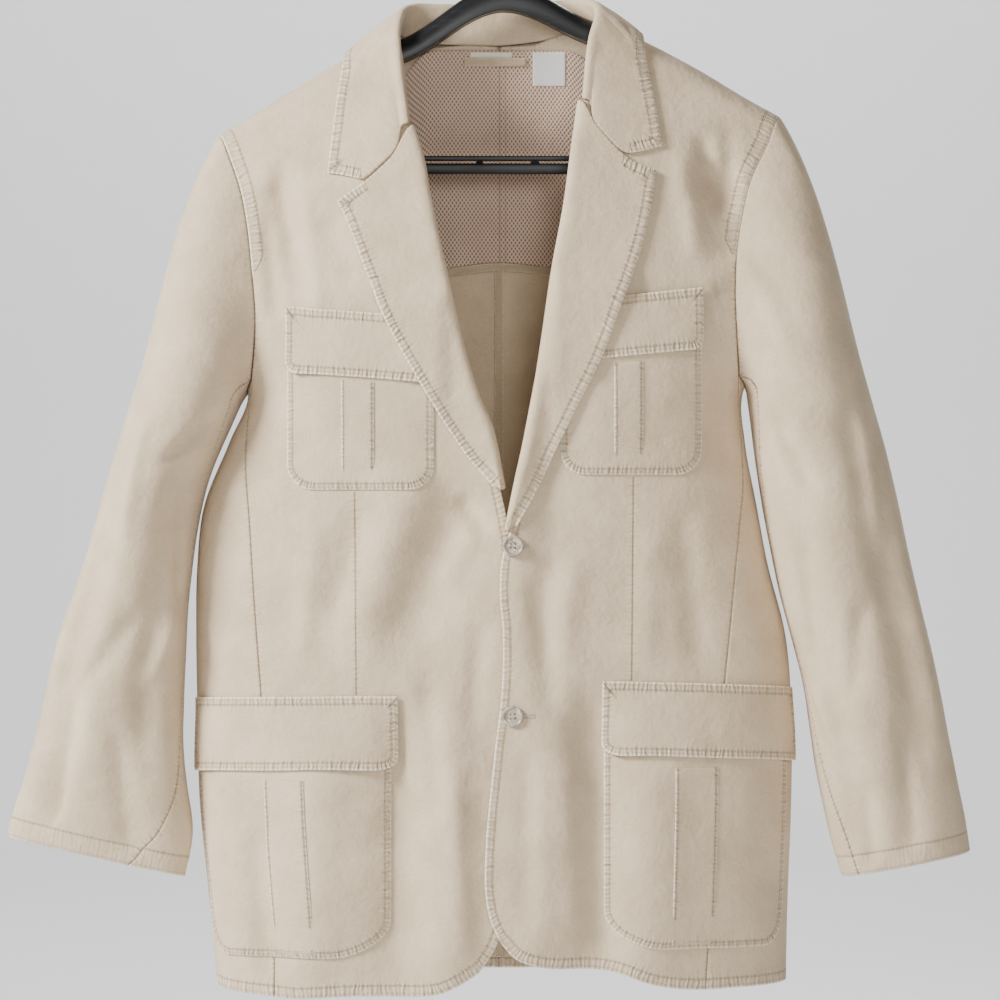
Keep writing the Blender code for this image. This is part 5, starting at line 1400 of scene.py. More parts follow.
def sew(group, points, normals, pitch=None, length=None, width=None, turn=0.0):
    """A run of stitches along a line on a surface."""
    look = bpy.context.scene.jacket_cloth
    pitch = pitch or look.stitch_pitch / MM
    length = length or look.stitch_length / MM
    width = width or look.thread_width / MM
    run = run_of(points)
    if run[-1] < pitch * 0.8:
        return
    places = np.arange(pitch * 0.5, run[-1], pitch)

    def at(rows, shift=0.0):
        return np.stack([np.interp(places + shift, run, rows[:, k]) for k in range(3)], -1)

    spots = at(points)
    ups = unit(at(normals))
    along = unit(at(points, 0.6) - at(points, -0.6))
    side = unit(np.cross(ups, along))
    if turn:
        along, side = side, along
    wobble = 0.05 * np.sin(places * 1.7)[:, None] * side
    frames = np.stack([along * length * 0.5, side * width * 0.5, ups * width * 0.42], 1)
    SEWING.setdefault(group, []).append((spots + ups * 0.12 + wobble, frames))


def build_mesh(name, material, nu, nv, outer, inner):
    """A closed thin shell: a grid of cells with its copy behind it."""
    bm = bmesh.new()
    bmesh.ops.create_grid(bm, x_segments=nu - 1, y_segments=nv - 1, size=0.5)
    copied = bmesh.ops.extrude_face_region(bm, geom=bm.faces[:], use_keep_orig=True)
    raised = [item for item in copied["geom"] if isinstance(item, bmesh.types.BMVert)]
    bmesh.ops.translate(bm, vec=(0, 0, 1), verts=raised)
    bmesh.ops.recalc_face_normals(bm, faces=bm.faces[:])
    flat = np.array([vert.co for vert in bm.verts])
    i = np.round((flat[:, 0] + 0.5) * (nu - 1)).astype(int)
    j = np.round((flat[:, 1] + 0.5) * (nv - 1)).astype(int)
    behind = flat[:, 2] > 0.5
    points = np.where(behind[:, None], inner[i, j], outer[i, j]) * MM
    for vert, point in zip(bm.verts, points):
        vert.co = point
    if bm.calc_volume(signed=True) < 0:
        bmesh.ops.reverse_faces(bm, faces=bm.faces[:])
    return modelled(name, bm, material), i, j


def give(mesh, name, kind, values):
    """Store values on a mesh's points."""
    layer = mesh.attributes.new(name, kind, "POINT")
    key = "value" if kind == "FLOAT" else "vector"
    layer.data.foreach_set(key, np.ascontiguousarray(values, dtype=np.float32).ravel())


def settle(thing, node, slot):
    """Put a piece in the place of its CAD node, or of the nodes that share its name's ends."""
    start, end = node.split("_")[0], node.split("_")[-1]
    nodes = [name for name in frame["nodes"] if node in BACKS and name.startswith(start + "_")
             and name.endswith("_" + end)]
    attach(thing, "root")
    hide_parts(*(nodes or [node]))


def cloth(node, place, thick, faces, sewn=None, held="hung", rests_on=(), cell=CELL, soften=0,
          group=None, dart=None, material=None, slot="khaki_twill", hem_wave=0.0):
    """A thin shell of cloth. Place(u, v) gives its show face in millimetres, faces is the
    direction in which most of that face looks, and sewn holds a table for each sewn border."""
    fine = np.linspace(0, 1, 401)
    middle = np.full_like(fine, 0.5)
    us = marks_along(place(fine, middle), cell)
    vs = marks_along(place(middle, fine), cell)
    uu, vv = np.meshgrid(us, vs, indexing="ij")
    points = place(uu.ravel(), vv.ravel()).reshape(len(us), len(vs), 3)
    for _ in range(soften):
        points[1:-1] = (points[:-2] + 2 * points[1:-1] + points[2:]) / 4
    normals = unit(np.cross(np.gradient(points, axis=0), np.gradient(points, axis=1)))
    if np.sum(normals[len(us) // 2:] * np.asarray(faces, float)) < 0:
        normals = -normals
    across = runs_along(points, 0)
    down = runs_along(points, 1)
    if hem_wave:
        from_hem = down[:, -1:] - down
        wave = np.sin(across / 6.1 + 0.8 * np.sin(across / 17.0)) * np.exp(-from_hem / 9.0)
        points = points + normals * (hem_wave * wave)[..., None]
    rim = np.minimum(np.minimum(across, across[-1:] - across),
                     np.minimum(down, down[:, -1:] - down))
    pinch = EDGE_PINCH * thick * (1 - np.clip(rim / PINCH_REACH, 0, 1)) ** 2
    outer = points - normals * pinch[..., None]
    inner = points - normals * (thick - pinch)[..., None]
    fields, edge, seam = beside_borders(points, sewn or {})
    thing, i, j = build_mesh(node + "_cloth", material or khaki(), len(us), len(vs), outer, inner)
    weave = np.stack([across - across[len(us) // 2], down, np.zeros_like(down)], -1)
    give(thing.data, "pull", "FLOAT", edge[i, j, 3])
    for name, values in (("edge", edge[..., :3]), ("seam", seam),
                         ("dart", beside_dart(points, dart)), ("cloth", weave)):
        give(thing.data, name, "FLOAT_VECTOR", values[i, j])
    if group:
        sew_borders(group, points, normals, fields)
    settle(thing, node, slot)
    width = max(float(across[-1].max()) * MM, SHEET_LEAST)
    length = max(float(down[:, -1].max()) * MM, SHEET_LEAST)
    corner = np.cross(points[1:, 1:] - points[:-1, :-1], points[1:, :-1] - points[:-1, 1:])
    area = float(np.sum(np.linalg.norm(corner, axis=-1)) / 2) * MM * MM
    area = min(max(area, 0.31 * width * length), width * length)
    list(rests_on)
    return thing


def on_skin(to_plane, lift=0.0, lifted=False):
    """Place on the torso, this far over the cloth. Lift is a number or a function of u, v."""
    def place(u, v):
        plane = to_plane(u, v)
        point = skin_at(plane, lifted)
        height = lift(u, v) if callable(lift) else lift
        if np.ndim(height) or height:
            point = point + normal_at(plane, lifted) * np.broadcast_to(height, u.shape)[..., None]
        return point
    return place


def on_flank(to_plane, side, lift=0.0):
    """Place round the side of the torso, this far over the cloth."""
    def place(u, v):
        plane = to_plane(u, v)
        height = lift(u, v) if callable(lift) else lift
        normal = flank_normal(plane[..., 0], plane[..., 1], side)
        point = flank(plane[..., 0], plane[..., 1], side)
        return point + normal * np.broadcast_to(height, u.shape)[..., None]
    return place


def between(lines):
    """Place inside four border lines."""
    left, right, top, bottom = lines
    return lambda u, v: coons(u, v, left, right, top, bottom)


def make_front(side, word):
    """Front panel, with its topstitched edge, armhole and hem, and its dart."""
    seam = list(SIDE_SEAM[side])
    inner = list(FRONT_EDGE[side])
    hem = hem_between(inner[-1][0], seam[-1][0])
    inner[-1] = hem[0]
    seam[-1] = hem[-1]
    inner_plane = to_wrap(inner)
    inner_plane[0, 1] = SEAM
    outer = outer_line(arm_run(side, -1), seam, -1, -side * SEAM)
    lines = (inner_line(inner_plane, side * EDGE_TRIM, True), outer,
             line(np.array([inner_plane[0], outer(0.0)])), line(to_wrap(hem)))
    cloth("front_" + word, on_skin(between(lines), lifted=side > 0), WALL, FORWARD,
          sewn={"u0": FRONT_EDGE_SEWN, "u1": ARM_SEWN, "v0": SHOULDER_SEWN, "v1": HEM_SEWN},
          rests_on=["hanger_shoulders"], group=word, dart=DARTS[side], hem_wave=HEM_WAVE)


def make_back(side, word):
    """Back panel, from the centre seam to the side panel."""
    neck = FRONT_EDGE[side][0]
    centre = [neck]
    centre += [(side * x, z) for x, z in NECK_CURVE[side]]
    centre.append(NECK_BACK)
    centre += [(0, z) for z in np.linspace(CENTRE_TOP, BACK_HEM, 8)]
    seam = back_seam(side)
    inner_plane = to_wrap(centre, 1)
    inner_plane[0, 1] = -SEAM
    outer = outer_line(arm_run(side, 1), seam, 1, -side * SEAM)
    hem = to_wrap([(x, BACK_HEM) for x in np.linspace(0, seam[-1][0], 9)], 1)
    lines = (inner_line(inner_plane, side * SEAM, False), outer,
             line(np.array([inner_plane[0], outer(0.0)])), line(hem))
    cloth("back_" + word, on_skin(between(lines)), WALL, (0, 1, 0),
          sewn={"u0": PLAIN, "u1": BACK_ARM_SEWN, "v0": SHOULDER_SEWN, "v1": HEM_SEWN},
          rests_on=["hanger_shoulders"], group=word, hem_wave=HEM_WAVE)


def make_side(side, word):
    """Side panel, from the front seam round to the back seam."""
    top = SIDE_SEAM[side][0][1]
    front_hem = hem_between(FRONT_EDGE[side][-1][0], SIDE_SEAM[side][-1][0])[-1][1]

    def to_plane(u, v):
        front_z = seam_height(v, top, front_hem)
        back_z = seam_height(v, top, BACK_HEM)
        first, last = side_turns(side, front_z, back_z)
        sag = UNDERARM_DIP * np.sin(np.clip(u, 0, 1) * math.pi) * (1 - smooth(v * 4))
        z = front_z * (1 - u) + back_z * u - sag
        gap = np.degrees(SEAM / 60)
        return np.stack([(first - gap) * (1 - u) + (last + gap) * u, z], -1)

    cloth("side_" + word, on_flank(to_plane, side), WALL, (side, 0, 0),
          sewn={"u0": PLAIN, "u1": PLAIN, "v0": PLAIN, "v1": HEM_SEWN},
          rests_on=["front_" + word, "back_" + word], group=word, hem_wave=HEM_WAVE)


def make_sleeve(side, word, upper):
    """Top or under sleeve, between its front and its back seam."""
    knots = np.concatenate([[0.0], np.linspace(CAP_SHARE, 1.0, 7)])
    front_turns = np.array([UNDERARM_FROM, *FRONT_SEAM_TURN[side]], float)
    back_turns = np.array([UNDERARM_TO, *BACK_SEAM_TURN], float)
    gap = np.degrees(SEAM / 60)

    def place(u, v):
        front = interpolate(knots, front_turns[:, None], v)[..., 0]
        back = interpolate(knots, back_turns[:, None], v)[..., 0]
        if upper:
            step = np.abs(2 * u - 1) * ARM_ROWS
            part = np.interp(step, np.arange(ARM_ROWS + 1), ARM_STEPS[:, 1] / UNDERARM_FROM)
            turn = np.where(u < 0.5, (front - gap) * part, (back + gap - 360) * part)
        else:
            turn = (front + gap) * (1 - u) + (back - gap) * u
        return sleeve_skin(side, v, np.mod(turn, 360))

    name = "top_sleeve_" if upper else "under_sleeve_"
    faces = (side, 0, 0.4) if upper else (-side, 0, -0.4)
    cloth(name + word, place, WALL, faces,
          sewn={"u0": SLEEVE_SEAM_SEWN, "u1": SLEEVE_SEAM_SEWN, "v0": PLAIN, "v1": CUFF_SEWN},
          rests_on=["front_" + word, "back_" + word], group=word, hem_wave=CUFF_WAVE)


def make_top_sleeve(side, word):
    """Top sleeve, outside."""
    make_sleeve(side, word, True)


def make_under_sleeve(side, word):
    """Under sleeve, toward the body."""
    make_sleeve(side, word, False)


def make_lapel(side, word):
    """Lapel, rolled out of the front's edge and pressed down on the chest."""
    roll_points = list(FRONT_EDGE[side][ROLL_ROWS])
    roll_points[0] = (roll_points[0][0], roll_points[0][1] - NOTCH_GAP)
    roll = line(to_wrap(roll_points))
    edge = line(to_wrap(LAPEL_EDGE[side]))
    top = line(to_wrap(lapel_top(side)), soft=False)
    bottom = line(to_wrap([roll_points[-1], LAPEL_EDGE[side][-1]]))
    lifted = side > 0
    fold = np.asarray(LAPEL_FOLD, float)
    knots = np.arange(len(fold))

    def place(u, v):
        turn = np.clip(u / FOLD_SHARE, 0, 1) * knots[-1]
        share = np.clip((u - FOLD_SHARE) / (1 - FOLD_SHARE), 0, 1)
        section = interpolate(knots, fold, turn)
        plane = coons(share, v, roll, edge, top, bottom)
        width = np.linalg.norm(edge(v) - roll(v), axis=-1)
        run = roll(np.minimum(v + 0.01, 1)) - roll(np.maximum(v - 0.01, 0))
        aim = unit(np.stack([run[:, 1], -run[:, 0]], -1) * side)
        taper = np.clip(width / 30, 0.2, 1)
        out = section[:, 0] * np.where(section[:, 0] > 0, taper, 1) * (1 - share)
        plane = plane + aim * out[:, None]
        rest = LAPEL_REST + (section[:, 1] - LAPEL_REST) * (1 - share) ** 2
        height = np.where(u < FOLD_SHARE, section[:, 1], rest)
        crossing = pocket_bump(side, plane[:, 0], skin_at(plane)[:, 2])
        height = height + crossing * smooth((turn - knots[-1] + 1) / 1.0) + EDGE_CURL * share ** 6
        return skin_at(plane, lifted) + normal_at(plane, lifted) * height[:, None]

    cloth("lapel_" + word, place, DOUBLE, FORWARD, held="folded", cell=3.0, soften=2,
          sewn={"u1": LAPEL_SEWN, "v0": LAPEL_TOP_SEWN}, rests_on=["front_" + word], group="collar")


def collar_face(a, b):
    """The collar's show face, whose ends follow the gorge seams and the notches."""
    last = float(len(COLLAR_ROLL) - 1)
    point = collar_point(a, b)
    for side, middle in ((-1, 0.0), (1, last)):
        near = 1 - smooth(np.abs(a - middle) / 1.6)
        fall = np.clip((b - FIRST_FALL) / (1 - FIRST_FALL), 0, 1)
        plane = collar_end(side, 0.06 + 0.94 * fall)
        rest = skin_at(plane)
        own = collar_point(np.full_like(a, middle), b)
        wrap = wrap_of(own[..., 0], own[..., 2])
        normal = skin_normal(own[..., 0], wrap)
        height = np.sum((own - skin(own[..., 0], wrap)) * normal, axis=-1)
        settled = DOUBLE + LAY + 3.2 * (1 - fall) ** 2
        height = height + (settled - height) * smooth(fall * 2.6)
        target = rest + normal_at(plane) * height[..., None]
        point = point + (target - own) * (near * smooth(fall * 9))[..., None]
    return point


def make_collar():
    """Collar: stand, roll and fall in one curved sheet round the neck."""
    last = len(COLLAR_ROLL) - 1
    row_marks = np.concatenate([[0], np.cumsum(COLLAR_ROWS)])

    def place(u, v):
        along = np.interp(v * row_marks[-1], row_marks, np.arange(last + 1))
        return collar_face(0.02 + along * (1 - 0.04 / last), u)

    cloth("collar", place, DOUBLE, (0, 0, 1), held="folded", cell=2.6, soften=2,
          sewn={"u1": COLLAR_SEWN, "v0": COLLAR_END_SEWN, "v1": COLLAR_END_SEWN},
          rests_on=["lapel_right", "lapel_left"], group="collar")


def patch_plane(u, v, size, radius, top_slant, low_slant, turn=None):
    """Place in a patch between two edges and two heights, with rounded lower corners."""
    x0, x1, top, bottom = size
    height = abs(top - bottom)
    width = abs(x1 - x0) if turn is None else LOWER_PATCH_WIDTH
    share = corner_rows(v, height, radius) if radius else v
    across = rounded(u, share, width, height, radius) if radius else u
    slant = top_slant + (low_slant - top_slant) * share
    z = top + (bottom - top) * share + slant * across
    if turn is None:
        x = x0 + (x1 - x0) * across
        return with_wrap(x, z)
    start = turn_of(np.full_like(z, x0), z)
    return np.stack([start + (turn - start) * across, z], -1)


def swell(u, v):
    """A patch pocket bags out between its sewn edges."""
    return POCKET_SWELL * smooth(np.minimum(u, 1 - u) / 0.3) * smooth((1 - v) / 0.3)


def flap_lift(u, v):
    """A flap lies on its pocket and curls up a little at its lower edge."""
    base = PATCH_GAP + POCKET_WALL + PATCH_GAP + FLAP + POCKET_SWELL * smooth(v * 2)
    corners = 1 + 0.9 * (2 * u - 1) ** 4
    return base + FLAP_CURL * v ** 3 * corners


def make_chest_pocket(side, word):
    """Chest pocket, its stitched strip and its flap."""
    outer, inner, top, bottom, flap_end = CHEST_POCKET[side]
    slant = CHEST_SLANT[side]
    size = (outer, inner, top - UNDER_FLAP, bottom)
    place = on_skin(lambda u, v: patch_plane(u, v, size, CHEST_CORNER, slant, 0.0),
                    lambda u, v: PATCH_GAP + POCKET_WALL + swell(u, v))
    cloth("chest_pocket_" + word, place, POCKET_WALL, FORWARD, sewn=POCKET_BORDERS, held="laid",
          cell=3.2, rests_on=["front_" + word], group=word)
    x0, x1, high, low = CHEST_STRIP[side]
    strip = (x0, x1, high - 3.0, low + 2.5)
    place = on_skin(lambda u, v: patch_plane(u, v, strip, 0, slant * 0.2, 0.0),
                    lambda u, v: STRIP_LIFT + POCKET_SWELL * smooth((1 - v) / 0.35))
    cloth("chest_strip_" + word, place, STRIP, FORWARD, held="laid", cell=3.2,
          sewn=STRIP_BORDERS, rests_on=["chest_pocket_" + word], group=word)
    flap = (outer + side * 0.6, inner, top, flap_end)
    place = on_skin(lambda u, v: patch_plane(u, v, flap, FLAP_CORNER, slant, slant), flap_lift)
    cloth("chest_flap_" + word, place, FLAP, FORWARD, sewn=FLAP_BORDERS, held="laid", cell=3.0,
          rests_on=["chest_pocket_" + word], group=word)


def make_lower_pocket(side, word):
    """Lower pocket, which runs round to the side, its strip and its flap."""
    inner, share, flap_share, top, bottom, flap_end, slant = LOWER_POCKET[side]
    turns = [float(np.degrees(np.arccos(s ** (SQUARENESS / 2)))) for s in (share, flap_share)]
    size = (inner, 0, top - UNDER_FLAP, bottom)
    place = on_flank(lambda u, v: patch_plane(u, v, size, LOWER_CORNER, 0.0, 0.0, turns[0]), side,
                     lambda u, v: PATCH_GAP + POCKET_WALL + swell(u, v))
    cloth("lower_pocket_" + word, place, POCKET_WALL, FORWARD, sewn=POCKET_BORDERS, held="laid",
          cell=3.4, rests_on=["front_" + word, "side_" + word], group=word)
    x0, x1, high, low = LOWER_STRIP[side]
    strip_turns = [float(turn_of(x, (high + low) / 2)) for x in (x0, x1)]

    def strip(u, v):
        z = high - 3.0 + (low - high + 6.0) * v
        return np.stack([strip_turns[0] + (strip_turns[1] - strip_turns[0]) * u, z], -1)

    place = on_flank(strip, side, lambda u, v: STRIP_LIFT + POCKET_SWELL * smooth((1 - v) / 0.35))
    cloth("lower_strip_" + word, place, STRIP, FORWARD, held="laid", cell=3.2,
          sewn=STRIP_BORDERS, rests_on=["lower_pocket_" + word], group=word)
    flap = (LOWER_FLAP_EDGE[side], 0, top, flap_end)
    place = on_flank(lambda u, v: patch_plane(u, v, flap, FLAP_CORNER, slant, slant, turns[1]),
                     side, flap_lift)
    cloth("lower_flap_" + word, place, FLAP, FORWARD, sewn=FLAP_BORDERS, held="laid", cell=3.0,
          rests_on=["lower_pocket_" + word], group=word)


def make_inside():
    """What shows through the open neck: lining, bindings, labels and loop."""
    look = bpy.context.scene.jacket_cloth
    mesh = kept("pierced_mesh", lambda: mesh_finish(look))
    white = kept("care_label", lambda: label_finish("care_label", look.label))
    woven = kept("neck_label", lambda: label_finish("neck_label", look.khaki_light))
    depth_in = -WALL - LINING_GAP - LINING_WALL

    def low_edge(x):
        return LINING_END + LINING_ARCH * np.exp(-(x / 46) ** 2)

    def lining(u, v):
        x = LINING_HALF * (2 * u - 1)
        near = smooth((np.abs(x) - 56) / 44)
        top = (NECK_BACK[1] - NECK_GAP) * (1 - near) + (shoulder(x) - LINING_SHOULDER_DROP) * near
        return with_wrap(x, top + (low_edge(x) - top) * v, 1)

    def binding(u, v):
        x = LINING_HALF * (2 * u - 1)
        return with_wrap(x, low_edge(x) - 0.4 - BINDING_WIDTH * v, 1)

    def strip(x0, x1, high, low):
        return lambda u, v: with_wrap(x0 + (x1 - x0) * u, high + (low - high) * v, 1)

    def label(size):
        x0, x1, low, high = size

        def plane(u, v):
            x = x0 + (x1 - x0) * u
            z = high + (low - high) * v - NECK_BELOW
            return with_wrap(x, np.minimum(z, NECK_BACK[1] - LABEL_DROP), 1)
        return plane

    width, high, low = BACK_BINDING
    seam = strip(-width / 2, width / 2, high, low)
    loop_top = NECK_BACK[1] - LOOP_DROP
    tape = strip(*LOOP_ENDS, loop_top, loop_top - LOOP_WIDTH)
    cloth("mesh_lining", on_skin(lining, depth_in), LINING_WALL * 0.7, FORWARD, material=mesh,
          slot="lining_mesh", rests_on=BACKS)
    edges = {"v0": TAPE_SEWN, "v1": TAPE_SEWN}
    cloth("lining_binding", on_skin(binding, depth_in - 0.4), LINING_WALL, FORWARD, cell=2.4,
          sewn=edges, rests_on=["mesh_lining"], group="collar")
    cloth("back_seam_binding", on_skin(seam, -WALL - TAPE_GAP - TAPE_WALL), TAPE_WALL * 0.7,
          FORWARD, cell=2.4, sewn={"u0": TAPE_SEWN, "u1": TAPE_SEWN}, rests_on=BACKS,
          group="collar")
    label_at = depth_in - LABEL_GAP
    cloth("neck_label", on_skin(label(NECK_LABEL), label_at), 0.5, FORWARD, cell=2.0,
          material=woven, slot="white_label", held="laid", rests_on=["mesh_lining"])
    cloth("care_label", on_skin(label(CARE_LABEL), label_at), 0.4, FORWARD, cell=2.4,
          material=white, slot="white_label", held="hung", rests_on=["mesh_lining"])
    place = on_skin(tape, lambda u, v: depth_in - LOOP_GAP - 0.9 * np.sin(u * math.pi))
    cloth("hanging_loop", place, TAPE_WALL * 0.8, FORWARD, cell=2.0, sewn=edges,
          rests_on=["mesh_lining"], group="collar")


def make_button(number, height):
    """Four-hole button: a pierced disc in a raised rim, and the thread that holds it."""
    sizes = bpy.context.scene.jacket_buttons
    pearl = kept("pearl_button", lambda: pearl_finish(sizes.pearl))
    wrap = np.array(float(wrap_of(BUTTON_X, height)))
    face = skin(BUTTON_X, wrap, True)
    normal = skin_normal(np.array(BUTTON_X), wrap, True)
    radius = sizes.radius
    thick = sizes.thick
    bm = bmesh.new()
    rings = [bmesh.ops.create_circle(bm, segments=64, radius=radius * BUTTON_WELL)["verts"]]
    for x, y in BUTTON_HOLES:
        hole = bmesh.ops.create_circle(bm, segments=16, radius=BUTTON_HOLE * MM)["verts"]
        bmesh.ops.translate(bm, vec=(x * MM, y * MM, 0), verts=hole)
        rings.append(hole)
    bmesh.ops.triangle_fill(bm, use_beauty=True, use_dissolve=False, edges=bm.edges[:])
    raised = bmesh.ops.extrude_face_region(bm, geom=bm.faces[:], use_keep_orig=True)
    lifted = [item for item in raised["geom"] if isinstance(item, bmesh.types.BMVert)]
    bmesh.ops.translate(bm, vec=(0, 0, thick * BUTTON_DISH), verts=lifted)
    lips = [edge for edge in bm.edges if all(vert in lifted for vert in edge.verts)
            and edge.calc_face_angle(0) > 1.0]
    bmesh.ops.bevel(bm, geom=lips, offset=0.15 * MM, affect="EDGES", segments=2, profile=0.5,
                    material=-1)
    rim = []
    for out, up in BUTTON_RIM:
        rim.append(bm.verts.new((out * radius, 0, up * thick)))
    loop = [bm.edges.new((a, b)) for a, b in zip(rim, rim[1:] + rim[:1])]
    bmesh.ops.spin(bm, geom=rim + loop, cent=(0, 0, 0), axis=(0, 0, 1), angle=math.tau, steps=64,
                   use_merge=True)
    bmesh.ops.remove_doubles(bm, verts=bm.verts[:], dist=0.00001)
    bmesh.ops.recalc_face_normals(bm, faces=bm.faces[:])
    turn = Vector((0, 0, 1)).rotation_difference(Vector(normal)).to_matrix().to_4x4()
    base = (Vector(face) + Vector(normal) * BUTTON_STAND) * MM
    bmesh.ops.transform(bm, matrix=Matrix.Translation(base) @ turn, verts=bm.verts[:])
    button = modelled("button_%d_turned" % number, bm, pearl)
    button.data.set_sharp_from_angle(angle=math.radians(38))
    settle(button, "button_%d" % number, "pearl")
    top = base / MM + Vector(normal) * (thick * BUTTON_DISH / MM + 0.15)
    frame_x = np.array(turn.to_3x3() @ Vector((1, 0, 0)))
    frame_y = np.array(turn.to_3x3() @ Vector((0, 1, 0)))
    for y in sorted({hole[1] for hole in BUTTON_HOLES}):
        for shift in (-STRAND_SHIFT, STRAND_SHIFT):
            start = np.array(top) + frame_x * -STRAND_HALF + frame_y * (y + shift)
            stop = np.array(top) + frame_x * STRAND_HALF + frame_y * (y + shift)
            sew("buttons", np.stack([start, stop]), np.stack([normal, normal]), **STRAND_THREAD)


def make_buttonhole(start, stop, height):
    """Dense bars of thread down both sides of a slit, and across its ends."""
    xs = np.linspace(start, stop, 24)
    rows = [(xs, np.full_like(xs, height + side * SLIT_ROW), 1.9) for side in (-1, 1)]
    zs = np.linspace(height - SLIT_HALF, height + SLIT_HALF, 12)
    rows += [(np.full_like(zs, x), zs, 1.5) for x in (start, stop)]
    for xs, zs, length in rows:
        wraps = wrap_of(xs, zs)
        sew("buttons", skin(xs, wraps, True), skin_normal(xs, wraps, True), length=length,
            **SLIT_THREAD)


def make_buttons():
    """Both buttons, with their buttonholes."""
    for number, (height, slit) in enumerate(zip(BUTTON_HEIGHTS, BUTTONHOLES), 1):
        make_button(number, height)
        make_buttonhole(*slit, height)


def make_stitching():
    """The stitches of every group."""
    for group in ("right", "left", "collar", "buttons"):
        sew_group(group)


def sew_group(group):
    """All the stitches of one group, as small rounded grains of thread."""
    look = bpy.context.scene.jacket_cloth
    thread = kept("topstitch_thread", lambda: thread_finish(look))
    if group not in SEWING:
        raise RuntimeError("nothing is sewn yet for the stitching of " + group)
    spots = np.concatenate([spots for spots, _ in SEWING[group]])
    frames = np.concatenate([frames for _, frames in SEWING[group]])
    grain = bmesh.new()
    bmesh.ops.create_icosphere(grain, subdivisions=1, radius=1.0)
    shape = bpy.data.meshes.new("stitch")
    grain.to_mesh(shape)
    grain.free()
    corners = np.array([vert.co for vert in shape.vertices])
    bm = bmesh.new()
    for _ in range(len(spots)):
        bm.from_mesh(shape)
    thing = modelled("stitching_" + group, bm, thread)
    bpy.data.meshes.remove(shape)
    handed = np.linalg.det(frames)[:, None, None]
    mirrored = frames * np.array([1.0, -1.0, 1.0])[None, :, None]
    frames = np.where(handed < 0, mirrored, frames)
    points = spots[:, None, :] + np.einsum("ck,nkd->ncd", corners, frames)
    thing.data.vertices.foreach_set("co", (points * MM).astype(np.float32).ravel())
    thing.data.update()
    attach(thing, "root")


def slab(node, nu, nv, place, material, rounding):
    """A moulded bar with rounded edges, bent into place."""
    uu, vv = np.meshgrid(np.linspace(0, 1, nu), np.linspace(0, 1, nv), indexing="ij")
    flat_u = uu.ravel()
    flat_v = vv.ravel()
    outer = place(flat_u, flat_v, np.zeros(flat_u.shape, bool)).reshape(nu, nv, 3)
    inner = place(flat_u, flat_v, np.ones(flat_u.shape, bool)).reshape(nu, nv, 3)
    thing, _, _ = build_mesh(node + "_moulded", material, nu, nv, outer, inner)
    bevel = thing.modifiers.new("rounding", "BEVEL")
    bevel.width = rounding
    bevel.segments = 3
    bevel.limit_method = "ANGLE"
    bevel.angle_limit = math.radians(42)
    bevel.harden_normals = False
    settle(thing, node, "black_plastic")
    return thing


def make_hanger():
    """Moulded hanger: arched shoulders, trouser bar, rail, spacers and hook."""
    look = bpy.context.scene.jacket_hanger
    plastic = kept("moulded_black", lambda: plastic_finish("moulded_black", look.plastic, 0.36))
    dark = kept("black_hook", lambda: plastic_finish("black_hook", look.wire, 0.3))

    def shoulders(u, v, inner):
        x = HANGER_REACH * (2 * v - 1)
        middle = 1 - smooth((np.abs(x) - ARCH_FLAT) / ARCH_RUN)
        wide = HANGER_DEPTH + (ARCH_DEPTH - HANGER_DEPTH) * middle
        thick = HANGER_THICK + (ARCH_THICK - HANGER_THICK) * middle
        end = smooth((HANGER_REACH - np.abs(x)) / TIP_RUN)
        thick = thick * (0.62 + 0.38 * end)
        wide = wide * (0.7 + 0.3 * end)
        angle = (u * 2 - 1) * HANGER_TURN
        radius = wide / math.sin(HANGER_TURN)
        arch = radius * (1 - np.cos(angle)) * SLOPE_ROOM
        low = hanger_top(x) - thick - 0.10 * arch
        return np.stack([x, radius * np.sin(angle), np.where(inner, low, hanger_top(x) - arch)], -1)

    slab("hanger_shoulders", 15, 110, shoulders, plastic, look.rounding)
    ends = [float(hanger_top(s * BAR_REACH)) - HANGER_THICK * 0.93 - 2.2 for s in (-1, 1)]
    middle = (BAR_TOP + BAR_BOTTOM) / 2
    half = (BAR_TOP - BAR_BOTTOM) / 2
    near = BAR_REACH - BAR_BEND
    high = middle + BAR_BEND

    def bar(u, v, inner):
        marks = (0.0, 0.15, 0.30, 0.70, 0.85, 1.0)
        turn = np.interp(v, marks, np.radians([180, 180, 270, 270, 360, 360]))
        x = np.interp(v, marks, (-near, -near, -near, near, near, near))
        z = np.interp(v, marks, (ends[0], high, high, high, high, ends[1]))
        reach = BAR_BEND + np.where(inner, -half, half)
        return np.stack([x + np.cos(turn) * reach, (u * 2 - 1) * BAR_HALF_DEPTH,
                         z + np.sin(turn) * reach], -1)

    slab("hanger_bar", 5, 81, bar, plastic, look.rounding * 1.4)
    rail = BAR_REACH - half - BAR_BEND / 2
    slab("hanger_rail", 3, 40, lambda u, v, inner: np.stack(
        [rail * (2 * v - 1), (u * 2 - 1) * (BAR_HALF_DEPTH - RAIL_INSET),
         np.where(inner, RAIL_BOTTOM, RAIL_TOP)], -1), plastic, look.rounding * 0.7)
    for number, (at, width) in enumerate(SPACERS, 1):
        slab("hanger_spacer_%d" % number, 4, 4, lambda u, v, inner, at=at, width=width: np.stack(
            [at + width * (u - 0.5), (v * 2 - 1) * (BAR_HALF_DEPTH - SPACER_INSET),
             np.where(inner, BAR_TOP + CLEAR, RAIL_BOTTOM - CLEAR)], -1), plastic,
            look.rounding * 0.5)
    make_hook(dark)


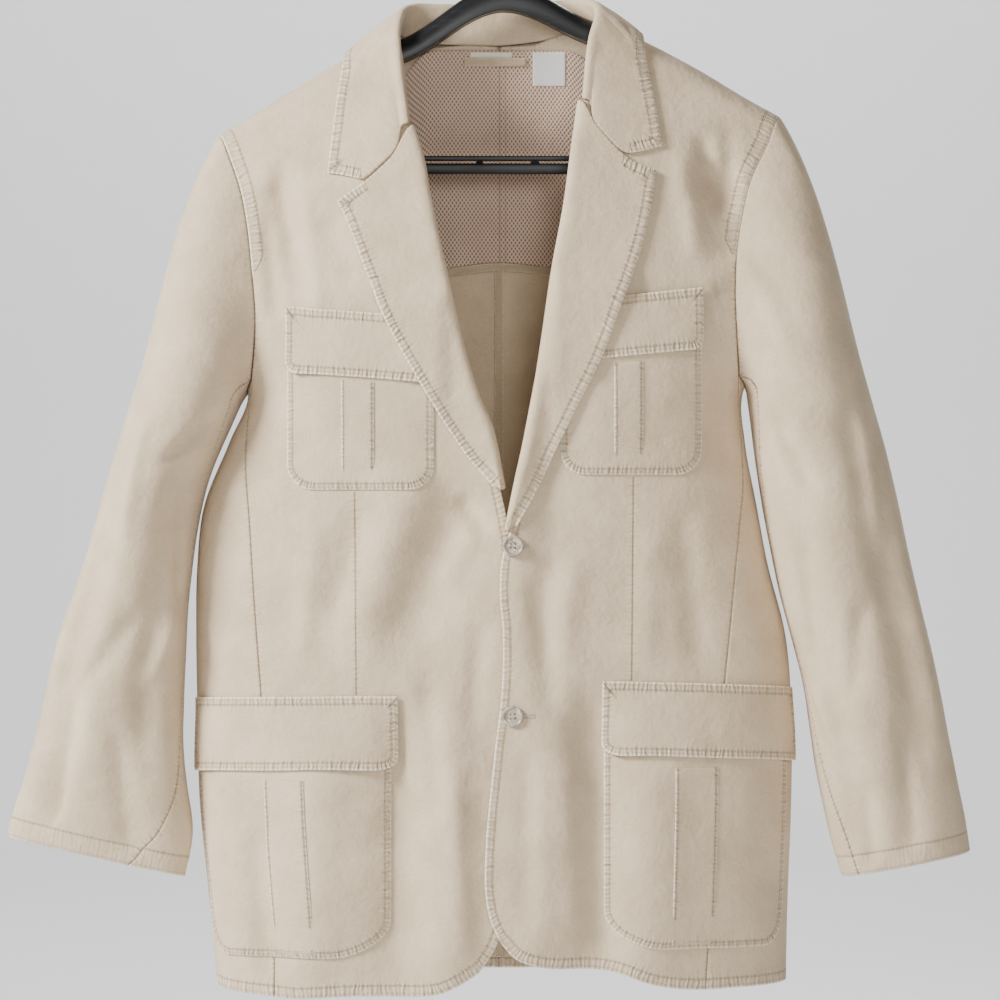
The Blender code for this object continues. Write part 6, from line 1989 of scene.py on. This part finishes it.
def make_hook(material):
    """Hook: a shank from the arch that swings aside and turns over the rod."""
    centre_z = -HOOK_RADIUS + HOOK_WIRE
    foot = float(hanger_top(0.0)) + CLEAR
    first, last = (math.radians(turn) for turn in HOOK_TURN)
    bend = (HOOK_RADIUS * math.cos(first), centre_z + HOOK_RADIUS * math.sin(first))
    shank = [*((x, foot + z) for x, z in HOOK_SHANK), bend]
    shank = [point for point in shank if point[1] <= bend[1]]
    shank = route(shank, np.linspace(0, 1, 14), True)[:-1]
    angles = np.linspace(first, last, 70)
    ring = np.stack([HOOK_RADIUS * np.cos(angles), centre_z + HOOK_RADIUS * np.sin(angles)], -1)
    points = np.concatenate([shank, ring])
    sizes = np.ones(len(points))
    sizes[-len(HOOK_TIP):] = HOOK_TIP
    curve = bpy.data.curves.new("hook_wire", "CURVE")
    curve.dimensions = "3D"
    curve.bevel_depth = HOOK_WIRE * MM
    curve.bevel_resolution = 6
    curve.use_fill_caps = True
    spline = curve.splines.new("POLY")
    spline.points.add(len(points) - 1)
    for point, (x, z), size in zip(spline.points, points, sizes):
        point.co = (x * MM, 0, z * MM, 1)
        point.radius = size
    spline.use_smooth = True
    curve.materials.append(material)
    settle(placed("hook_wire", curve), "hanger_hook", "black_plastic")


def make_stage():
    """Pale floor and backdrop in one sweep, soft lights and the camera."""
    look = bpy.context.scene.jacket_stage
    bm = bmesh.new()
    bmesh.ops.create_grid(bm, x_segments=8, y_segments=60, size=0.5)
    for vert in bm.verts:
        run = (vert.co.y + 0.5) * SWEEP_RUN
        flat = min(run, SWEEP_FLAT)
        turn = min(max(run - SWEEP_FLAT, 0) / SWEEP_BEND, math.pi / 2)
        rise = max(run - SWEEP_FLAT - SWEEP_BEND * math.pi / 2, 0)
        vert.co = (vert.co.x * SWEEP_WIDTH, flat - SWEEP_FRONT + SWEEP_BEND * math.sin(turn),
                   look.floor_height + SWEEP_BEND * (1 - math.cos(turn)) + rise)
    paper = Finish("studio_paper", 0.9, 0.2)
    grain = paper.noise(paper.object_place(), 6.0, 3.0)
    paper.colour(paper.mixed((grain * 0.3).held(), look.floor, [c * 0.94 for c in look.floor]))
    modelled("floor_sweep", bm, paper.material)
    for name, place, target, size, setting, share in LIGHTS:
        light = bpy.data.lights.new(name, "AREA")
        light.size = size
        light.energy = share * getattr(look, setting)
        lamp = placed(name, light)
        lamp.location = place
        aim = Vector(target) - Vector(place)
        lamp.rotation_euler = aim.to_track_quat("-Z", "Y").to_euler()
    world = bpy.data.worlds.new("studio")
    world.use_nodes = True
    glow = world.node_tree.nodes["Background"].inputs
    glow["Color"].default_value = WORLD_COLOUR
    glow["Strength"].default_value = WORLD_STRENGTH
    bpy.context.scene.world = world
    camera = bpy.data.cameras.new("camera")
    camera.lens = camera.sensor_width * look.camera_distance / look.frame_width
    view = placed("camera", camera)
    view.location = (CAMERA_X * MM, -look.camera_distance + FRONT_PLANE * MM, CAMERA_Z * MM)
    view.rotation_euler = (math.pi / 2, 0, 0)
    bpy.context.scene.camera = view


class JacketOperator:
    """Makes its pieces, and stops with an error if none came out."""
    bl_options = {"REGISTER", "UNDO"}
    each_side = ()  # what it makes for the right and then for the left
    once = ()  # what it makes once

    def execute(self, context):
        before = len(bpy.data.objects)
        for side, word in SIDES:
            for make in self.each_side:
                make(side, word)
        for make in self.once:
            make()
        if len(bpy.data.objects) == before:
            raise RuntimeError(self.bl_label + " made no piece")
        return {"FINISHED"}


class JACKET_OT_fronts(JacketOperator, bpy.types.Operator):
    """Build the two front panels"""
    bl_idname = "jacket.fronts"
    bl_label = "Fronts"
    each_side = (make_front,)


class JACKET_OT_body(JacketOperator, bpy.types.Operator):
    """Build the side and back panels"""
    bl_idname = "jacket.body"
    bl_label = "Sides and back"
    each_side = (make_side, make_back)


class JACKET_OT_sleeves(JacketOperator, bpy.types.Operator):
    """Build the top and under sleeves"""
    bl_idname = "jacket.sleeves"
    bl_label = "Sleeves"
    each_side = (make_top_sleeve, make_under_sleeve)


class JACKET_OT_collar(JacketOperator, bpy.types.Operator):
    """Build the lapels and the collar"""
    bl_idname = "jacket.collar"
    bl_label = "Lapels and collar"
    each_side = (make_lapel,)
    once = (make_collar,)


class JACKET_OT_pockets(JacketOperator, bpy.types.Operator):
    """Build the four patch pockets with their strips and flaps"""
    bl_idname = "jacket.pockets"
    bl_label = "Pockets"
    each_side = (make_chest_pocket, make_lower_pocket)


class JACKET_OT_inside(JacketOperator, bpy.types.Operator):
    """Build the lining, the bindings, the blank labels and the loop"""
    bl_idname = "jacket.inside"
    bl_label = "Inside of the back"
    once = (make_inside,)


class JACKET_OT_buttons(JacketOperator, bpy.types.Operator):
    """Build the buttons and work the buttonholes"""
    bl_idname = "jacket.buttons"
    bl_label = "Buttons and buttonholes"
    once = (make_buttons,)


class JACKET_OT_stitching(JacketOperator, bpy.types.Operator):
    """Sew the topstitching that the other pieces have marked"""
    bl_idname = "jacket.stitching"
    bl_label = "Stitching"
    once = (make_stitching,)


class JACKET_OT_hanger(JacketOperator, bpy.types.Operator):
    """Build the hanger and its hook"""
    bl_idname = "jacket.hanger"
    bl_label = "Hanger"
    once = (make_hanger,)


class JACKET_OT_stage(JacketOperator, bpy.types.Operator):
    """Set the floor, the lights and the camera"""
    bl_idname = "jacket.stage"
    bl_label = "Stage"
    once = (make_stage,)


OPERATORS = (JACKET_OT_fronts, JACKET_OT_body, JACKET_OT_sleeves, JACKET_OT_collar,
             JACKET_OT_pockets, JACKET_OT_inside, JACKET_OT_buttons, JACKET_OT_stitching,
             JACKET_OT_hanger, JACKET_OT_stage)


class JACKET_PT_panel(bpy.types.Panel):
    """Settings and steps of the jacket"""
    bl_idname = "JACKET_PT_panel"
    bl_label = "Safari jacket"
    bl_space_type = "VIEW_3D"
    bl_region_type = "UI"
    bl_category = "Jacket"

    def draw(self, context):
        for name, group in GROUPS:
            box = self.layout.box()
            for setting in group.__annotations__:
                box.prop(getattr(context.scene, name), setting)
        for operator in OPERATORS:
            self.layout.operator(operator.bl_idname)


def register():
    for name, group in GROUPS:
        bpy.utils.register_class(group)
        setattr(bpy.types.Scene, name, PointerProperty(type=group))
    for kind in (*OPERATORS, JACKET_PT_panel):
        bpy.utils.register_class(kind)


def unregister():
    for kind in (JACKET_PT_panel, *reversed(OPERATORS)):
        bpy.utils.unregister_class(kind)
    for name, group in reversed(GROUPS):
        delattr(bpy.types.Scene, name)
        bpy.utils.unregister_class(group)


def main():
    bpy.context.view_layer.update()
    register()
    for operator in OPERATORS:
        group, name = operator.bl_idname.split(".")
        getattr(getattr(bpy.ops, group), name)()


if __name__ == "__main__":
    main()
